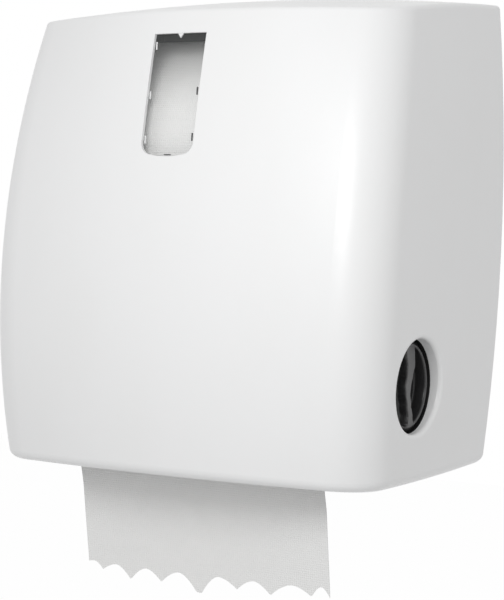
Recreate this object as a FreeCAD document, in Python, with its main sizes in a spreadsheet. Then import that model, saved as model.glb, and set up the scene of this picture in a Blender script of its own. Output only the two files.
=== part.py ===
import FreeCAD, Part

import math
import os

import Sketcher

# Hands-free roll towel dispenser with a side feed knob.  Millimetres.
# The origin is the centre of the four wall screws on the back face (Y = 0).
# X points right, Y points into the wall (the front is at -Y) and Z points up.
# Heights are given above the lower front edge of the cover, which lies screw_height below the origin.

Vector = FreeCAD.Vector
document = FreeCAD.newDocument("TowelDispenser")

SIZES = {
    # cover form
    "cover_width": 330.0,
    "cover_height": 376.4,
    "cover_depth": 212.3,
    "screw_height": 180.0,
    "cover_wall": 2.5,
    "corner_radius": 38.8,
    "side_belly": 10.6,
    "belly_height": 153.0,
    "side_flare": 3.7,
    "depth_lean": 3.5,
    "depth_belly": 18.0,
    "depth_twist": 2.6,
    "front_bow": 10.7,
    "bow_gain": 5.3,
    "bow_curve": 6.5,
    "top_crown": 9.3,
    "top_slope": 0.15,
    "top_fall": 14.4,
    "base_crown": 1.6,
    "base_slope": 0.063,
    "base_rise": 8.2,
    "fall_length": 200.0,
    "top_edge_radius": 4.0,
    "base_edge_radius": 8.0,
    "rear_corner_radius": 9.0,
    "lip_depth": 20.0,
    "side_lip": 14.0,
    "mouth_cut": 40.0,
    # window
    "window_width": 43.4,
    "window_top": 314.5,
    "window_bottom": 225.5,
    "window_radius": 9.0,
    "pane_thickness": 1.8,
    "pane_margin": 5.0,
    "pane_gap": 0.1,
    # hinge and lock
    "hinge_setback": 9.5,
    "hinge_height": 30.5,
    "hinge_pin_radius": 2.5,
    "hinge_pin_length": 16.0,
    "hinge_boss_radius": 6.0,
    "lock_setback": 24.0,
    "lock_radius": 8.0,
    "lock_length": 16.0,
    "lock_neck_radius": 3.0,
    "lock_nut_radius": 5.0,
    "lock_sink": 0.4,
    "cam_thickness": 2.0,
    "cam_reach": 17.0,
    "cam_width": 8.0,
    "catch_width": 7.0,
    # chassis
    "back_margin": 28.0,
    "back_bottom": 34.0,
    "back_top": 365.0,
    "back_thickness": 3.0,
    "back_rim": 12.0,
    "back_top_corner": 6.0,
    "back_low_corner": 16.0,
    "screw_spacing_across": 160.0,
    "screw_spacing_up": 200.0,
    "wall_screw_radius": 3.0,
    "side_space": 43.0,
    "cheek_thickness": 3.0,
    "cheek_top": 178.0,
    "cheek_flange": 18.0,
    "cheek_top_depth": 57.0,
    "cheek_shoulder": 34.0,
    "cheek_reach": 60.0,
    "cheek_slant": 8.0,
    "cheek_nose_top": 46.0,
    "cheek_nose_bottom": 16.0,
    "cheek_foot": 27.0,
    "cheek_screw_radius": 2.0,
    "cheek_screw_inset": 20.0,
    "arm_lug_reach": 7.0,
    "arm_lug_height": 5.7,
    # running fits
    "running_gap": 0.05,
    "free_gap": 0.3,
    # roll
    "roll_width": 210.0,
    "roll_front_gap": 16.3,
    "roll_back_gap": 16.0,
    "roll_rise": 9.6,
    "core_radius": 21.0,
    "core_wall": 2.0,
    "spigot_flange_radius": 27.0,
    "spigot_flange": 2.5,
    "spigot_nose": 14.0,
    "spigot_gap": 1.0,
    "spigot_shaft_radius": 5.0,
    "arm_thickness": 4.0,
    "arm_root_height": 52.0,
    "arm_tip_radius": 15.0,
    "arm_pin_radius": 2.5,
    "arm_barrel_radius": 5.0,
    "arm_foot": 12.0,
    # drum
    "drum_front_gap": 93.7,
    "drum_height": 76.4,
    "drum_radius": 38.0,
    "drum_gap": 15.0,
    "drum_wall": 2.6,
    "drum_end": 3.0,
    "shaft_radius": 6.0,
    "bush_radius": 10.0,
    "bush_flange_radius": 14.0,
    "band_width": 18.0,
    "band_depth": 0.8,
    "band_margin": 2.0,
    "groove_width": 4.0,
    "groove_depth": 2.0,
    "drum_screw_radius": 1.5,
    "slot_width": 20.0,
    "slot_margin": 4.0,
    # knife
    "knife_pivot_out": 22.0,
    "knife_pivot_across": 18.0,
    "knife_tip_out": 34.0,
    "knife_tip_across": -4.0,
    "knife_margin": 7.0,
    "knife_thickness": 1.0,
    "knife_teeth": 7.0,
    "knife_tooth_depth": 6.0,
    "knife_pin_radius": 1.5,
    "carrier_radius": 4.5,
    "follower_radius": 4.0,
    "follower_orbit": 21.0,
    "follower_across": 6.0,
    "track_wall": 3.0,
    "cam_flange_radius": 30.0,
    # drive
    "ratchet_radius": 18.0,
    "ratchet_teeth": 12.0,
    "ratchet_depth": 3.0,
    "ratchet_width": 4.0,
    "pawl_pin_radius": 1.5,
    "pawl_spring_radius": 3.2,
    "crank_radius": 20.0,
    "crank_throw": 15.0,
    "crank_width": 4.0,
    "spring_radius": 4.0,
    "spring_post_height": 156.0,
    "case_wall": 1.8,
    "case_depth": 24.0,
    "case_margin": 34.0,
    # feed knob
    "knob_radius": 35.0,
    "knob_depth": 18.0,
    "knob_sink": 7.5,
    "knob_rim": 5.5,
    "knob_hollow": 9.0,
    "knob_grip": 13.0,
    "knob_pin_radius": 1.5,
    "recess_radius": 33.5,
    "recess_wall": 2.5,
    "recess_round": 3.0,
    # pinch roller
    "pinch_radius": 10.0,
    "pinch_angle": 60.0,
    "pinch_shaft_radius": 3.0,
    "pinch_sleeve_width": 30.0,
    "pinch_pivot_ahead": 31.4,
    "pinch_pivot_rise": 56.6,
    "pinch_arm": 3.0,
    "pinch_arm_radius": 6.5,
    "pinch_arm_inset": 6.0,
    "pinch_spring_radius": 5.0,
    # towel
    "towel_thickness": 0.6,
    "towel_gap": 0.3,
    "towel_angle": 14.0,
    "mouth_height": 6.0,
    "tail_end": -88.0,
    "tail_tooth": 10.0,
    "chute_gap": 5.0,
    "chute_thickness": 2.0,
    "chute_top": 52.0,
    "chute_bottom": 9.0,
    "comb_tip": 62.5,
    "comb_base": 22.0,
    "comb_gap": 3.0,
    "comb_bar": 8.0,
}

FASTENER_HEAD = 1.8
SLOT_ANGLE = 150.0
CUT_GAP = (100.0, 185.0)
LOADING_NOTCH = (332.0, 360.0)
PAWL_LIFT = 10.0
BAND_COUNT = 5
SECTION_COUNT = 9


class Formula:
    """A length that holds its value and the spreadsheet formula that gives it."""

    def __init__(self, text, value):
        self.text = text
        self.value = value

    def joined(self, sign, other, value):
        return Formula("(%s %s %s)" % (self.text, sign, formula(other).text), value)

    def __add__(self, other):
        return self.joined("+", other, self.value + formula(other).value)

    def __sub__(self, other):
        return self.joined("-", other, self.value - formula(other).value)

    def __mul__(self, other):
        return self.joined("*", other, self.value * formula(other).value)

    def __truediv__(self, other):
        return self.joined("/", other, self.value / formula(other).value)

    def __radd__(self, other):
        return formula(other) + self

    def __rsub__(self, other):
        return formula(other) - self

    def __rmul__(self, other):
        return formula(other) * self

    def __neg__(self):
        return Formula("(0 - %s)" % self.text, -self.value)


def formula(value):
    """Gives a number the form of a Formula."""
    if isinstance(value, Formula):
        return value
    return Formula("(%.6f)" % value, float(value))


def cosine(degrees):
    degrees = formula(degrees)
    return Formula("cos(%s * 1 deg)" % degrees.text, math.cos(math.radians(degrees.value)))


def sine(degrees):
    degrees = formula(degrees)
    return Formula("sin(%s * 1 deg)" % degrees.text, math.sin(math.radians(degrees.value)))


def make_sheet():
    """Writes the sizes into the spreadsheet, one row each."""
    sheet = document.addObject("Spreadsheet::Sheet", "Sizes")
    for row, (name, value) in enumerate(SIZES.items(), start=1):
        sheet.set("A%d" % row, name.replace("_", " "))
        sheet.set("B%d" % row, str(value))
        sheet.setAlias("B%d" % row, name)
    document.recompute()
    return sheet


sheet = make_sheet()


class Sizes:
    """The spreadsheet's sizes as formulas, one attribute each."""

    def __init__(self):
        for name in SIZES:
            setattr(self, name, Formula("Sizes." + name, float(sheet.get(name))))


size = Sizes()
pieces = {}

# Places that several pieces share.
floor = -size.screw_height
drum_y = size.drum_front_gap - size.cover_depth
drum_z = floor + size.drum_height
roll_radius = (size.cover_depth - size.roll_front_gap - size.roll_back_gap) / 2
roll_y = -size.roll_back_gap - roll_radius
roll_z = floor + (size.cover_height + size.drum_height) / 2 + size.roll_rise
hinge_y = -size.hinge_setback
hinge_z = floor + size.hinge_height
cheek_inner = size.cover_width / 2 - size.side_space
cheek_outer = cheek_inner + size.cheek_thickness
drum_length = 2 * (cheek_inner - size.drum_gap)
band_pitch = (drum_length - 2 * size.band_margin) / BAND_COUNT
sheet_radius = size.drum_radius + size.towel_gap
pinch_distance = sheet_radius + size.towel_thickness + size.towel_gap + size.pinch_radius
pinch_y = drum_y - pinch_distance * sine(size.pinch_angle)
pinch_z = drum_z + pinch_distance * cosine(size.pinch_angle)
pinch_pivot_y = drum_y - size.pinch_pivot_ahead
pinch_pivot_z = drum_z + size.pinch_pivot_rise


# ---------------------------------------------------------------- building helpers

def keep(label, thing):
    """Names a finished piece, which is the name of its file too."""
    thing.Label = label
    pieces[label] = thing
    return thing


def place(thing, x, y, z):
    for axis, value in zip("xyz", (x, y, z)):
        thing.setExpression("Placement.Base." + axis, formula(value).text)


def box(x0, x1, y0, y1, z0, z1):
    """A block between two corners."""
    block = document.addObject("Part::Box", "Block")
    for name, low, high in (("Length", x0, x1), ("Width", y0, y1), ("Height", z0, z1)):
        block.setExpression(name, (formula(high) - formula(low)).text)
    place(block, x0, y0, z0)
    return block


def rod(x0, x1, y, z, radius):
    """A cylinder along X."""
    cylinder = document.addObject("Part::Cylinder", "Rod")
    cylinder.Placement = FreeCAD.Placement(Vector(), FreeCAD.Rotation(Vector(0, 1, 0), 90))
    cylinder.setExpression("Radius", formula(radius).text)
    cylinder.setExpression("Height", (formula(x1) - formula(x0)).text)
    place(cylinder, x0, y, z)
    return cylinder


def post(x, y, z0, z1, radius):
    """A cylinder along Z."""
    cylinder = document.addObject("Part::Cylinder", "Post")
    cylinder.setExpression("Radius", formula(radius).text)
    cylinder.setExpression("Height", (formula(z1) - formula(z0)).text)
    place(cylinder, x, y, z0)
    return cylinder


def stud(x, y0, y1, z, radius):
    """A cylinder along Y."""
    cylinder = document.addObject("Part::Cylinder", "Stud")
    cylinder.Placement = FreeCAD.Placement(Vector(), FreeCAD.Rotation(Vector(1, 0, 0), -90))
    cylinder.setExpression("Radius", formula(radius).text)
    cylinder.setExpression("Height", (formula(y1) - formula(y0)).text)
    place(cylinder, x, y0, z)
    return cylinder


def fuse(*things):
    joined = document.addObject("Part::MultiFuse", "Fuse")
    joined.Shapes = list(things)
    return joined


def cut(base, *tools):
    result = document.addObject("Part::Cut", "Cut")
    result.Base = base
    result.Tool = tools[0] if len(tools) == 1 else fuse(*tools)
    return result


def common(first, second):
    result = document.addObject("Part::Common", "Common")
    result.Base = first
    result.Tool = second
    return result


def feature(name, shape):
    """A shape made by code, as an object of the document."""
    thing = document.addObject("Part::Feature", name)
    thing.Shape = shape
    return thing


def new_body(label):
    return keep(label, document.addObject("PartDesign::Body", label))


def sketch_on(body, role, offset=0.0):
    """An empty sketch on one of the body's own origin planes, moved along the plane's normal."""
    plane = [item for item in body.Origin.OriginFeatures if item.Role == role][0]
    sketch = body.newObject("Sketcher::SketchObject", body.Name + "Sketch")
    sketch.AttachmentSupport = [(plane, "")]
    sketch.MapMode = "FlatFace"
    sketch.setExpression("AttachmentOffset.Base.z", formula(offset).text)
    return sketch


def pin_point(sketch, line, end, point):
    """Holds one end of a line at a place given by two formulas."""
    for kind, value in zip(("DistanceX", "DistanceY"), point):
        value = formula(value)
        index = sketch.addConstraint(Sketcher.Constraint(kind, -1, 1, line, end, value.value))
        sketch.setExpression("Constraints[%d]" % index, value.text)


def outline(sketch, points):
    """A closed outline of straight lines through the points."""
    corners = [Vector(formula(a).value, formula(b).value, 0) for a, b in points]
    first = sketch.GeometryCount
    count = len(corners)
    for index in range(count):
        sketch.addGeometry(Part.LineSegment(corners[index], corners[(index + 1) % count]))
    for index in range(count):
        following = first + (index + 1) % count
        sketch.addConstraint(Sketcher.Constraint("Coincident", first + index, 2, following, 1))
    for index, point in enumerate(points):
        pin_point(sketch, first + index, 1, point)


def circle(sketch, a, b, radius):
    """A circle whose centre and radius follow formulas."""
    a, b, radius = formula(a), formula(b), formula(radius)
    centre = Vector(a.value, b.value, 0)
    index = sketch.addGeometry(Part.Circle(centre, Vector(0, 0, 1), radius.value))
    pin_point(sketch, index, 3, (a, b))
    bound = sketch.addConstraint(Sketcher.Constraint("Radius", index, radius.value))
    sketch.setExpression("Constraints[%d]" % bound, radius.text)


def pad(body, sketch, length):
    grown = body.newObject("PartDesign::Pad", "Pad")
    grown.Profile = sketch
    grown.setExpression("Length", formula(length).text)
    document.recompute()
    return grown


def pocket(body, sketch, length, reverse=False):
    """A pocket that has to take material away."""
    before = body.Shape.Volume
    hollow = body.newObject("PartDesign::Pocket", "Pocket")
    hollow.Profile = sketch
    hollow.Reversed = reverse
    hollow.setExpression("Length", formula(length).text)
    document.recompute()
    if not body.Shape.Volume < before:
        raise RuntimeError("a pocket in %s cuts nothing" % body.Label)
    return hollow


def turned(body, points, axis_y, axis_z):
    """A body turned about a line along X; the points are (x, distance from the line)."""
    sketch = sketch_on(body, "XZ_Plane", -formula(axis_y))
    outline(sketch, [(x, axis_z + radius) for x, radius in points])
    index = sketch.addGeometry(Part.LineSegment(Vector(0, axis_z.value, 0), Vector(1, axis_z.value, 0)), True)
    pin_point(sketch, index, 1, (0.0, axis_z))
    pin_point(sketch, index, 2, (1.0, axis_z))
    turn = body.newObject("PartDesign::Revolution", "Revolution")
    turn.Profile = sketch
    turn.ReferenceAxis = (sketch, ["Axis0"])
    turn.Angle = 360.0
    document.recompute()
    return turn


def plate(label, x0, thickness, points, holes=()):
    """A flat piece across X: an outline in (y, z) with round holes (y, z, radius)."""
    body = new_body(label)
    sketch = sketch_on(body, "YZ_Plane", x0)
    outline(sketch, points)
    for y, z, radius in holes:
        circle(sketch, y, z, radius)
    pad(body, sketch, thickness)
    return body


# ---------------------------------------------------------------- cover form

def height_share(height):
    """Height on the cover, from -1 at the lower edge to 1 at the top."""
    half = size.cover_height.value / 2
    return (height - half) / half


def cover_depth_at(height):
    share = height_share(height)
    lean = -size.depth_lean.value * share
    belly = -size.depth_belly.value * share ** 2
    twist = size.depth_twist.value * share ** 3
    return size.cover_depth.value + lean + belly + twist


def cover_half_width_at(height):
    share = (height - size.belly_height.value) / (size.cover_height.value / 2)
    return size.cover_width.value / 2 - size.side_belly.value * share ** 2


def front_bow_at(height):
    share = height_share(height)
    return size.front_bow.value + size.bow_gain.value * share + size.bow_curve.value * share ** 2


def plan_section(height, inset, back):
    """The cover's plan at one height: side, corner arc, bowed front, corner arc, side, back."""
    half = cover_half_width_at(height) - inset
    depth = cover_depth_at(height) - inset
    bow = front_bow_at(height)
    radius = size.corner_radius.value - inset
    reach = half - radius
    lean = 0.0
    for _ in range(20):
        meet_x = half - radius * (1 - math.sin(lean))
        lean = math.atan(2 * bow * meet_x / reach ** 2)
    meet_y = -(depth - bow * (meet_x / reach) ** 2)
    side_y = meet_y + radius * math.cos(lean)
    middle = math.radians(-90) + (lean + math.radians(90)) / 2
    arc_x = reach + radius * math.cos(middle)
    arc_y = side_y + radius * math.sin(middle)
    flare = half + size.side_flare.value * (1 - back / side_y)
    z = floor.value + height

    def at(x, y):
        return Vector(x, y, z)

    front = Part.BezierCurve()
    front.setPoles([at(-meet_x, meet_y), at(0, -2 * depth - meet_y), at(meet_x, meet_y)])
    edges = [
        Part.LineSegment(at(-flare, back), at(-half, side_y)).toShape(),
        Part.Arc(at(-half, side_y), at(-arc_x, arc_y), at(-meet_x, meet_y)).toShape(),
        front.toShape(),
        Part.Arc(at(meet_x, meet_y), at(arc_x, arc_y), at(half, side_y)).toShape(),
        Part.LineSegment(at(half, side_y), at(flare, back)).toShape(),
        Part.LineSegment(at(flare, back), at(-flare, back)).toShape(),
    ]
    return Part.Wire(edges)


def top_height_at(x, y):
    across = x / (size.cover_width.value / 2)
    along = y / size.fall_length.value
    crown = size.top_crown.value * across ** 2
    fall = size.top_fall.value * along ** 2 - size.top_slope.value * y
    return size.cover_height.value - crown - fall


def base_height_at(x, y):
    across = x / (size.cover_width.value / 2)
    out = size.cover_depth.value + y
    rise = size.base_rise.value * (out / size.fall_length.value) ** 2
    return -size.base_crown.value * across ** 2 + size.base_slope.value * out + rise


def curved_lid(height_at, lift, grow):
    """A block bounded by the top or base surface of the cover, grown up or down from it."""
    width = size.cover_width.value
    depth = size.cover_depth.value
    xs = (-width, 0.0, width)
    ys = (-1.5 * depth, -0.6 * depth, 0.3 * depth)

    def pole_heights(function, low, middle, high):
        control = 2 * function(middle) - (function(low) + function(high)) / 2
        return (function(low), control, function(high))

    along = pole_heights(lambda y: height_at(0, y), *ys)
    across = pole_heights(lambda x: height_at(x, 0) - height_at(0, 0), *xs)
    patch = Part.BezierSurface()
    patch.increase(2, 2)
    for i in range(3):
        for j in range(3):
            z = floor.value + along[j] + across[i] + lift
            patch.setPole(i + 1, j + 1, Vector(xs[i], ys[j], z))
    return patch.toShape().extrude(Vector(0, 0, grow))


def cover_form(inset, back, top_round, base_round):
    """The closed form of the cover, moved inwards by inset, with its top and lower edges rounded."""
    margin = 20.0
    full = size.cover_height.value + 2 * margin
    heights = [full * step / (SECTION_COUNT - 1) - margin for step in range(SECTION_COUNT)]
    walls = Part.makeLoft([plan_section(height, inset, back) for height in heights], True, False)
    under_top = curved_lid(top_height_at, -inset, -2 * full)
    over_base = curved_lid(base_height_at, inset, 2 * full)
    form = walls.common(under_top).common(over_base)
    for radius, rounds_top in ((top_round, True), (base_round, False)):
        edges = [edge for edge in form.Edges if is_rim(edge, back, rounds_top)]
        form = form.makeFillet(radius, edges)
    return form


def is_rim(edge, back, upper):
    """Whether an edge of the form runs round its top (or its base), apart from the back."""
    start, end = edge.Vertexes[0].Point, edge.Vertexes[-1].Point
    middle = edge.valueAt((edge.FirstParameter + edge.LastParameter) / 2)
    if abs(start.y - back) < 0.01 and abs(end.y - back) < 0.01:
        return False
    surface = top_height_at if upper else base_height_at
    nearness = size.cover_wall.value + 1.0
    return all(abs(point.z - floor.value - surface(point.x, point.y)) < nearness
               for point in (start, middle, end))


# ---------------------------------------------------------------- cover, window, hinge, lock

def window_prism(margin):
    """A prism along Y through the front wall, with square top corners and round lower ones."""
    depth_front = -1.25 * size.cover_depth.value
    depth_back = -0.7 * size.cover_depth.value
    half = size.window_width.value / 2 + margin
    top = floor.value + size.window_top.value + margin
    bottom = floor.value + size.window_bottom.value - margin
    radius = size.window_radius.value + margin
    sag = 1.5
    turn = radius * math.sqrt(0.5)
    points = [
        Vector(-half, 0, top),
        Vector(-half, 0, bottom + sag + radius),
        Vector(-half + radius - turn, 0, bottom + sag + radius - turn),
        Vector(-half + radius, 0, bottom + sag),
        Vector(0, 0, bottom),
        Vector(half - radius, 0, bottom + sag),
        Vector(half - radius + turn, 0, bottom + sag + radius - turn),
        Vector(half, 0, bottom + sag + radius),
        Vector(half, 0, top),
    ]
    edges = [
        Part.LineSegment(points[0], points[1]).toShape(),
        Part.Arc(points[1], points[2], points[3]).toShape(),
        Part.Arc(points[3], points[4], points[5]).toShape(),
        Part.Arc(points[5], points[6], points[7]).toShape(),
        Part.LineSegment(points[7], points[8]).toShape(),
        Part.LineSegment(points[8], points[0]).toShape(),
    ]
    prism = Part.Face(Part.Wire(edges)).extrude(Vector(0, depth_back - depth_front, 0))
    prism.translate(Vector(0, depth_front, 0))
    return prism


def rear_corner_tool(inset):
    """Takes the square lower rear corner off, round a line near the hinge."""
    radius = size.rear_corner_radius.value - inset
    centre_y = -size.rear_corner_radius.value
    base = floor.value + base_height_at(size.cover_width.value / 2, centre_y)
    centre_z = base + size.rear_corner_radius.value
    width = size.cover_width.value + 40
    reach = 3 * size.rear_corner_radius.value
    low = Vector(-width / 2, centre_y, centre_z - reach)
    block = Part.makeBox(width, reach, reach, low)
    drum = Part.makeCylinder(radius, width, Vector(-width / 2, centre_y, centre_z), Vector(1, 0, 0))
    return block.cut(drum)


def make_cover():
    wall = size.cover_wall.value
    outside = cover_form(0.0, 0.0, size.top_edge_radius.value, size.base_edge_radius.value)
    outside = outside.cut(rear_corner_tool(0.0))
    behind = 10.0
    top_round = size.top_edge_radius.value - wall / 2
    inside = cover_form(wall, behind, top_round, size.base_edge_radius.value - wall)
    outer = feature("CoverOutside", outside)
    inner = feature("CoverInside", inside)
    lip_y = size.lip_depth - formula(cover_depth_at(0.0))
    behind_lip = box(-size.cover_width, size.cover_width, lip_y, 20, floor - 20, floor + size.mouth_cut)
    mouth = common(behind_lip, feature("MouthForm", mouth_form()))
    shell = cut(outer, inner, mouth)

    knob_x = knob_face_x()
    collar = rod(knob_x + 0.5, knob_x + 40, drum_y, drum_z, size.recess_radius + size.recess_wall)
    boss_start = hinge_boss_x()
    boss_right = rod(boss_start, size.cover_width / 2, hinge_y, hinge_z, size.hinge_boss_radius)
    boss_left = rod(-size.cover_width / 2, -boss_start, hinge_y, hinge_z, size.hinge_boss_radius)
    lock_z = lock_top_z()
    lock_boss = post(0, -size.lock_setback, lock_z - 12, lock_z + 20, size.lock_radius + 3)
    added = common(fuse(collar, boss_right, boss_left, lock_boss), feature("CoverOutsideCopy", outside))

    recess = rod(knob_x - 5, knob_x + 40, drum_y, drum_z, size.recess_radius)
    bore_radius = size.hinge_pin_radius + size.running_gap
    bore_right = rod(boss_start - 1, boss_start + size.hinge_pin_length + 1, hinge_y, hinge_z, bore_radius)
    bore_left = rod(-boss_start - size.hinge_pin_length - 1, -boss_start + 1, hinge_y, hinge_z, bore_radius)
    lock_bore = post(0, -size.lock_setback, lock_z - 20, lock_z + 20, size.lock_radius + size.running_gap)
    window = feature("WindowOpening", window_prism(0.0))
    whole = fuse(shell, added)
    opened = cut(whole, recess, bore_right, bore_left, lock_bore, window)
    document.recompute()
    rounded = document.addObject("Part::Fillet", "RoundedRecess")
    rounded.Base = opened
    radius = size.recess_round.value
    rounded.Edges = [(number, radius, radius) for number, edge in enumerate(opened.Shape.Edges, start=1)
                     if is_recess_rim(edge)]
    keep("cover_shell", rounded)


def is_recess_rim(edge):
    """Whether an edge of the cover runs round the outer end of the knob's recess."""
    reach = (edge.LastParameter - edge.FirstParameter) / 6
    places = [edge.valueAt(edge.FirstParameter + reach * step) for step in range(7)]
    middle = knob_face_x().value + size.knob_sink.value / 2
    return all(place.x > middle and abs(math.hypot(place.y - drum_y.value, place.z - drum_z.value)
                                        - size.recess_radius.value) < 0.2 for place in places)


def mouth_form():
    """The plan of the open underside: the cover's plan, moved inwards by the side lip."""
    top = size.mouth_cut.value + 10
    heights = [-20.0, top / 2 - 10, top]
    sections = [plan_section(height, size.side_lip.value, 10.0) for height in heights]
    return Part.makeLoft(sections, True, False)


def knob_face_x():
    """X of the knob's outer face, sunk below the cover's side at the knob's height."""
    side = cover_half_width_at(size.drum_height.value)
    return formula(side) - size.knob_sink


def hinge_boss_x():
    return cheek_outer + size.free_gap


def lock_top_z():
    return formula(floor.value + top_height_at(0.0, -size.lock_setback.value))


def make_window_insert():
    inset = size.cover_wall.value + size.pane_gap.value
    band = cover_form_wall(inset, inset + size.pane_thickness.value)
    pane = band.common(window_prism(size.pane_margin.value))
    keep("window_insert", feature("WindowInsert", pane))


def cover_form_wall(near, far):
    """The front part of a wall of the cover's form between two insets."""
    low = size.window_bottom.value - 40
    high = size.window_top.value + 40
    heights = [low + (high - low) * step / 4 for step in range(5)]
    outer = Part.makeLoft([plan_section(height, near, 0.0) for height in heights], True, False)
    inner = Part.makeLoft([plan_section(height, far, 0.0) for height in heights], True, False)
    return outer.cut(inner)


def make_hinge_pins():
    start = cheek_inner
    end = cheek_outer + size.hinge_pin_length
    keep("hinge_pin_right", rod(start, end, hinge_y, hinge_z, size.hinge_pin_radius))
    keep("hinge_pin_left", rod(-end, -start, hinge_y, hinge_z, size.hinge_pin_radius))


def make_lock():
    lock_y = -size.lock_setback
    top = lock_top_z() - size.lock_sink
    bottom = top - size.lock_length
    barrel = post(0, lock_y, bottom, top, size.lock_radius)
    keyway = box(-0.8, 0.8, lock_y - 3.5, lock_y + 3.5, top - 8, top + 1)
    neck = post(0, lock_y, bottom - size.cam_thickness - 3, bottom, size.lock_neck_radius)
    keep("lock_barrel", cut(fuse(barrel, neck), keyway))
    cam_z = bottom - size.cam_thickness
    arm = box(-size.cam_width / 2, size.cam_reach, lock_y - size.cam_width / 2, lock_y + size.cam_width / 2,
              cam_z, bottom)
    hook = box(size.cam_reach - 2, size.cam_reach, lock_y - size.cam_width / 2, lock_y + size.cam_width / 2,
               cam_z - 3.5, bottom)
    bore = size.lock_neck_radius + size.running_gap
    hole = post(0, lock_y, cam_z - 1, bottom + 1, bore)
    keep("lock_cam", cut(fuse(arm, hook), hole))
    nut = post(0, lock_y, cam_z - 2.5, cam_z, size.lock_nut_radius)
    keep("lock_nut", cut(nut, post(0, lock_y, cam_z - 4, cam_z + 1, bore)))
    reach = size.lock_setback - (size.cam_reach - 2.6)
    half = size.catch_width / 2
    tongue = box(-half, half, -reach - 2, -size.back_thickness, cam_z - 6, cam_z - 4)
    lip = box(-half, half, -reach - 2, -reach, cam_z - 6, cam_z - 0.5)
    foot = box(-half - 8, half + 8, -size.back_thickness - 2, -size.back_thickness, cam_z - 30, cam_z - 4)
    keep("latch_catch", fuse(tongue, lip, foot))


# ---------------------------------------------------------------- chassis

def cheek_outline():
    """The side view of a cheek."""
    back = -size.back_thickness
    front = drum_y - size.cheek_reach
    top = floor + size.cheek_top
    low = floor + size.mouth_height + 10
    return [
        (back, hinge_z - 8),
        (back, top),
        (back - size.cheek_top_depth, top),
        (front + size.cheek_slant + 2, top - size.cheek_shoulder),
        (front + 2, drum_z + size.cheek_nose_top),
        (front, drum_z - size.cheek_nose_bottom),
        (front + size.cheek_slant, low - 2),
        (back - size.cheek_foot, low + 5.5),
        (back - 12, hinge_z - 8),
    ]


def make_cheek(label, side):
    """A cheek: a side plate with a flange on the back plate, bored for bush, pins and hinge."""
    holes = [
        (drum_y, drum_z, size.bush_radius),
        (hinge_y, hinge_z, size.hinge_pin_radius),
        (pinch_pivot_y, pinch_pivot_z, size.hinge_pin_radius),
    ]
    start = cheek_inner if side > 0 else -cheek_outer
    body = plate(label, start, size.cheek_thickness, cheek_outline(), holes)
    near = cheek_inner - size.cheek_flange
    flange = sketch_on(body, "XZ_Plane", size.back_thickness)
    ends = (near, cheek_inner) if side > 0 else (-cheek_inner, -near)
    bottom = floor + size.back_bottom + 6
    top = floor + size.cheek_top - 4
    outline(flange, [(ends[0], bottom), (ends[1], bottom), (ends[1], top), (ends[0], top)])
    for z in cheek_screw_heights():
        circle(flange, cheek_screw_x() * side, z, size.cheek_screw_radius)
    pad(body, flange, size.cheek_thickness)


def cheek_screw_x():
    return cheek_inner - size.cheek_flange / 2


def cheek_screw_heights():
    bottom = floor + size.back_bottom + size.cheek_screw_inset
    top = floor + size.cheek_top - size.cheek_screw_inset
    return (bottom, top)


def make_back_plate():
    """The back plate: wall screw holes, stiffening rim, roll arm lugs and roll arm seat."""
    body = new_body("back_plate")
    sketch = sketch_on(body, "XZ_Plane", 0.0)
    half = cheek_inner + size.back_margin
    bottom = floor + size.back_bottom
    top = floor + size.back_top
    corner, low_corner = size.back_top_corner, size.back_low_corner
    outline(sketch, [
        (-half + low_corner, bottom), (half - low_corner, bottom), (half, bottom + low_corner),
        (half, top - corner), (half - corner, top), (-half + corner, top), (-half, top - corner),
        (-half, bottom + low_corner),
    ])
    for across in (-1, 1):
        for up in (-1, 1):
            circle(sketch, size.screw_spacing_across / 2 * across, size.screw_spacing_up / 2 * up,
                   size.wall_screw_radius)
    pad(body, sketch, size.back_thickness)
    lug = sketch_on(body, "XY_Plane", roll_z - size.arm_root_height / 2 - size.arm_lug_height - size.free_gap)
    lug_top = sketch_on(body, "XY_Plane", roll_z + size.arm_root_height / 2 + size.free_gap)
    for lug_sketch in (lug, lug_top):
        x0 = arm_pin_x() - size.arm_lug_reach
        x1 = arm_pin_x() + size.arm_lug_reach
        y0 = arm_pin_y() - 6
        y1 = -size.back_thickness
        outline(lug_sketch, [(x0, y0), (x1, y0), (x1, y1), (x0, y1)])
        circle(lug_sketch, arm_pin_x(), arm_pin_y(), size.arm_pin_radius)
    pad(body, lug, size.arm_lug_height)
    pad(body, lug_top, size.arm_lug_height)
    rib = sketch_on(body, "XZ_Plane", size.back_thickness)
    rib_z = roll_z + size.arm_root_height / 2 + 2 * size.arm_lug_height
    outline(rib, [(-half + 20, rib_z), (half - 20, rib_z), (half - 20, rib_z + 3), (-half + 20, rib_z + 3)])
    pad(body, rib, 3.0)
    for edge in (-half, half - 3):
        rim = sketch_on(body, "XZ_Plane", size.back_thickness)
        rim_low, rim_high = bottom + low_corner, top - corner
        outline(rim, [(edge, rim_low), (edge + 3, rim_low), (edge + 3, rim_high), (edge, rim_high)])
        pad(body, rim, size.back_rim)


def make_cheek_screws():
    screws = []
    head_y = -size.back_thickness - size.cheek_thickness
    for side in (-1, 1):
        for z in cheek_screw_heights():
            x = cheek_screw_x() * side
            head = stud(x, head_y - FASTENER_HEAD, head_y, z, size.cheek_screw_radius * 2)
            shank = stud(x, head_y - 0.5, -size.back_thickness, z, size.cheek_screw_radius - 0.05)
            screws.append(fuse(head, shank))
    keep("cheek_screws", fuse(*screws))


# ---------------------------------------------------------------- roll and its carriers

def arm_pin_x():
    return roll_arm_x() + size.arm_thickness / 2


def arm_pin_y():
    return -size.back_thickness - 9


def roll_arm_x():
    """Inner face of a roll arm: outside the roll, the spigot's flange and a free gap."""
    return size.roll_width / 2 + size.spigot_flange + 2 * size.free_gap


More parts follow.
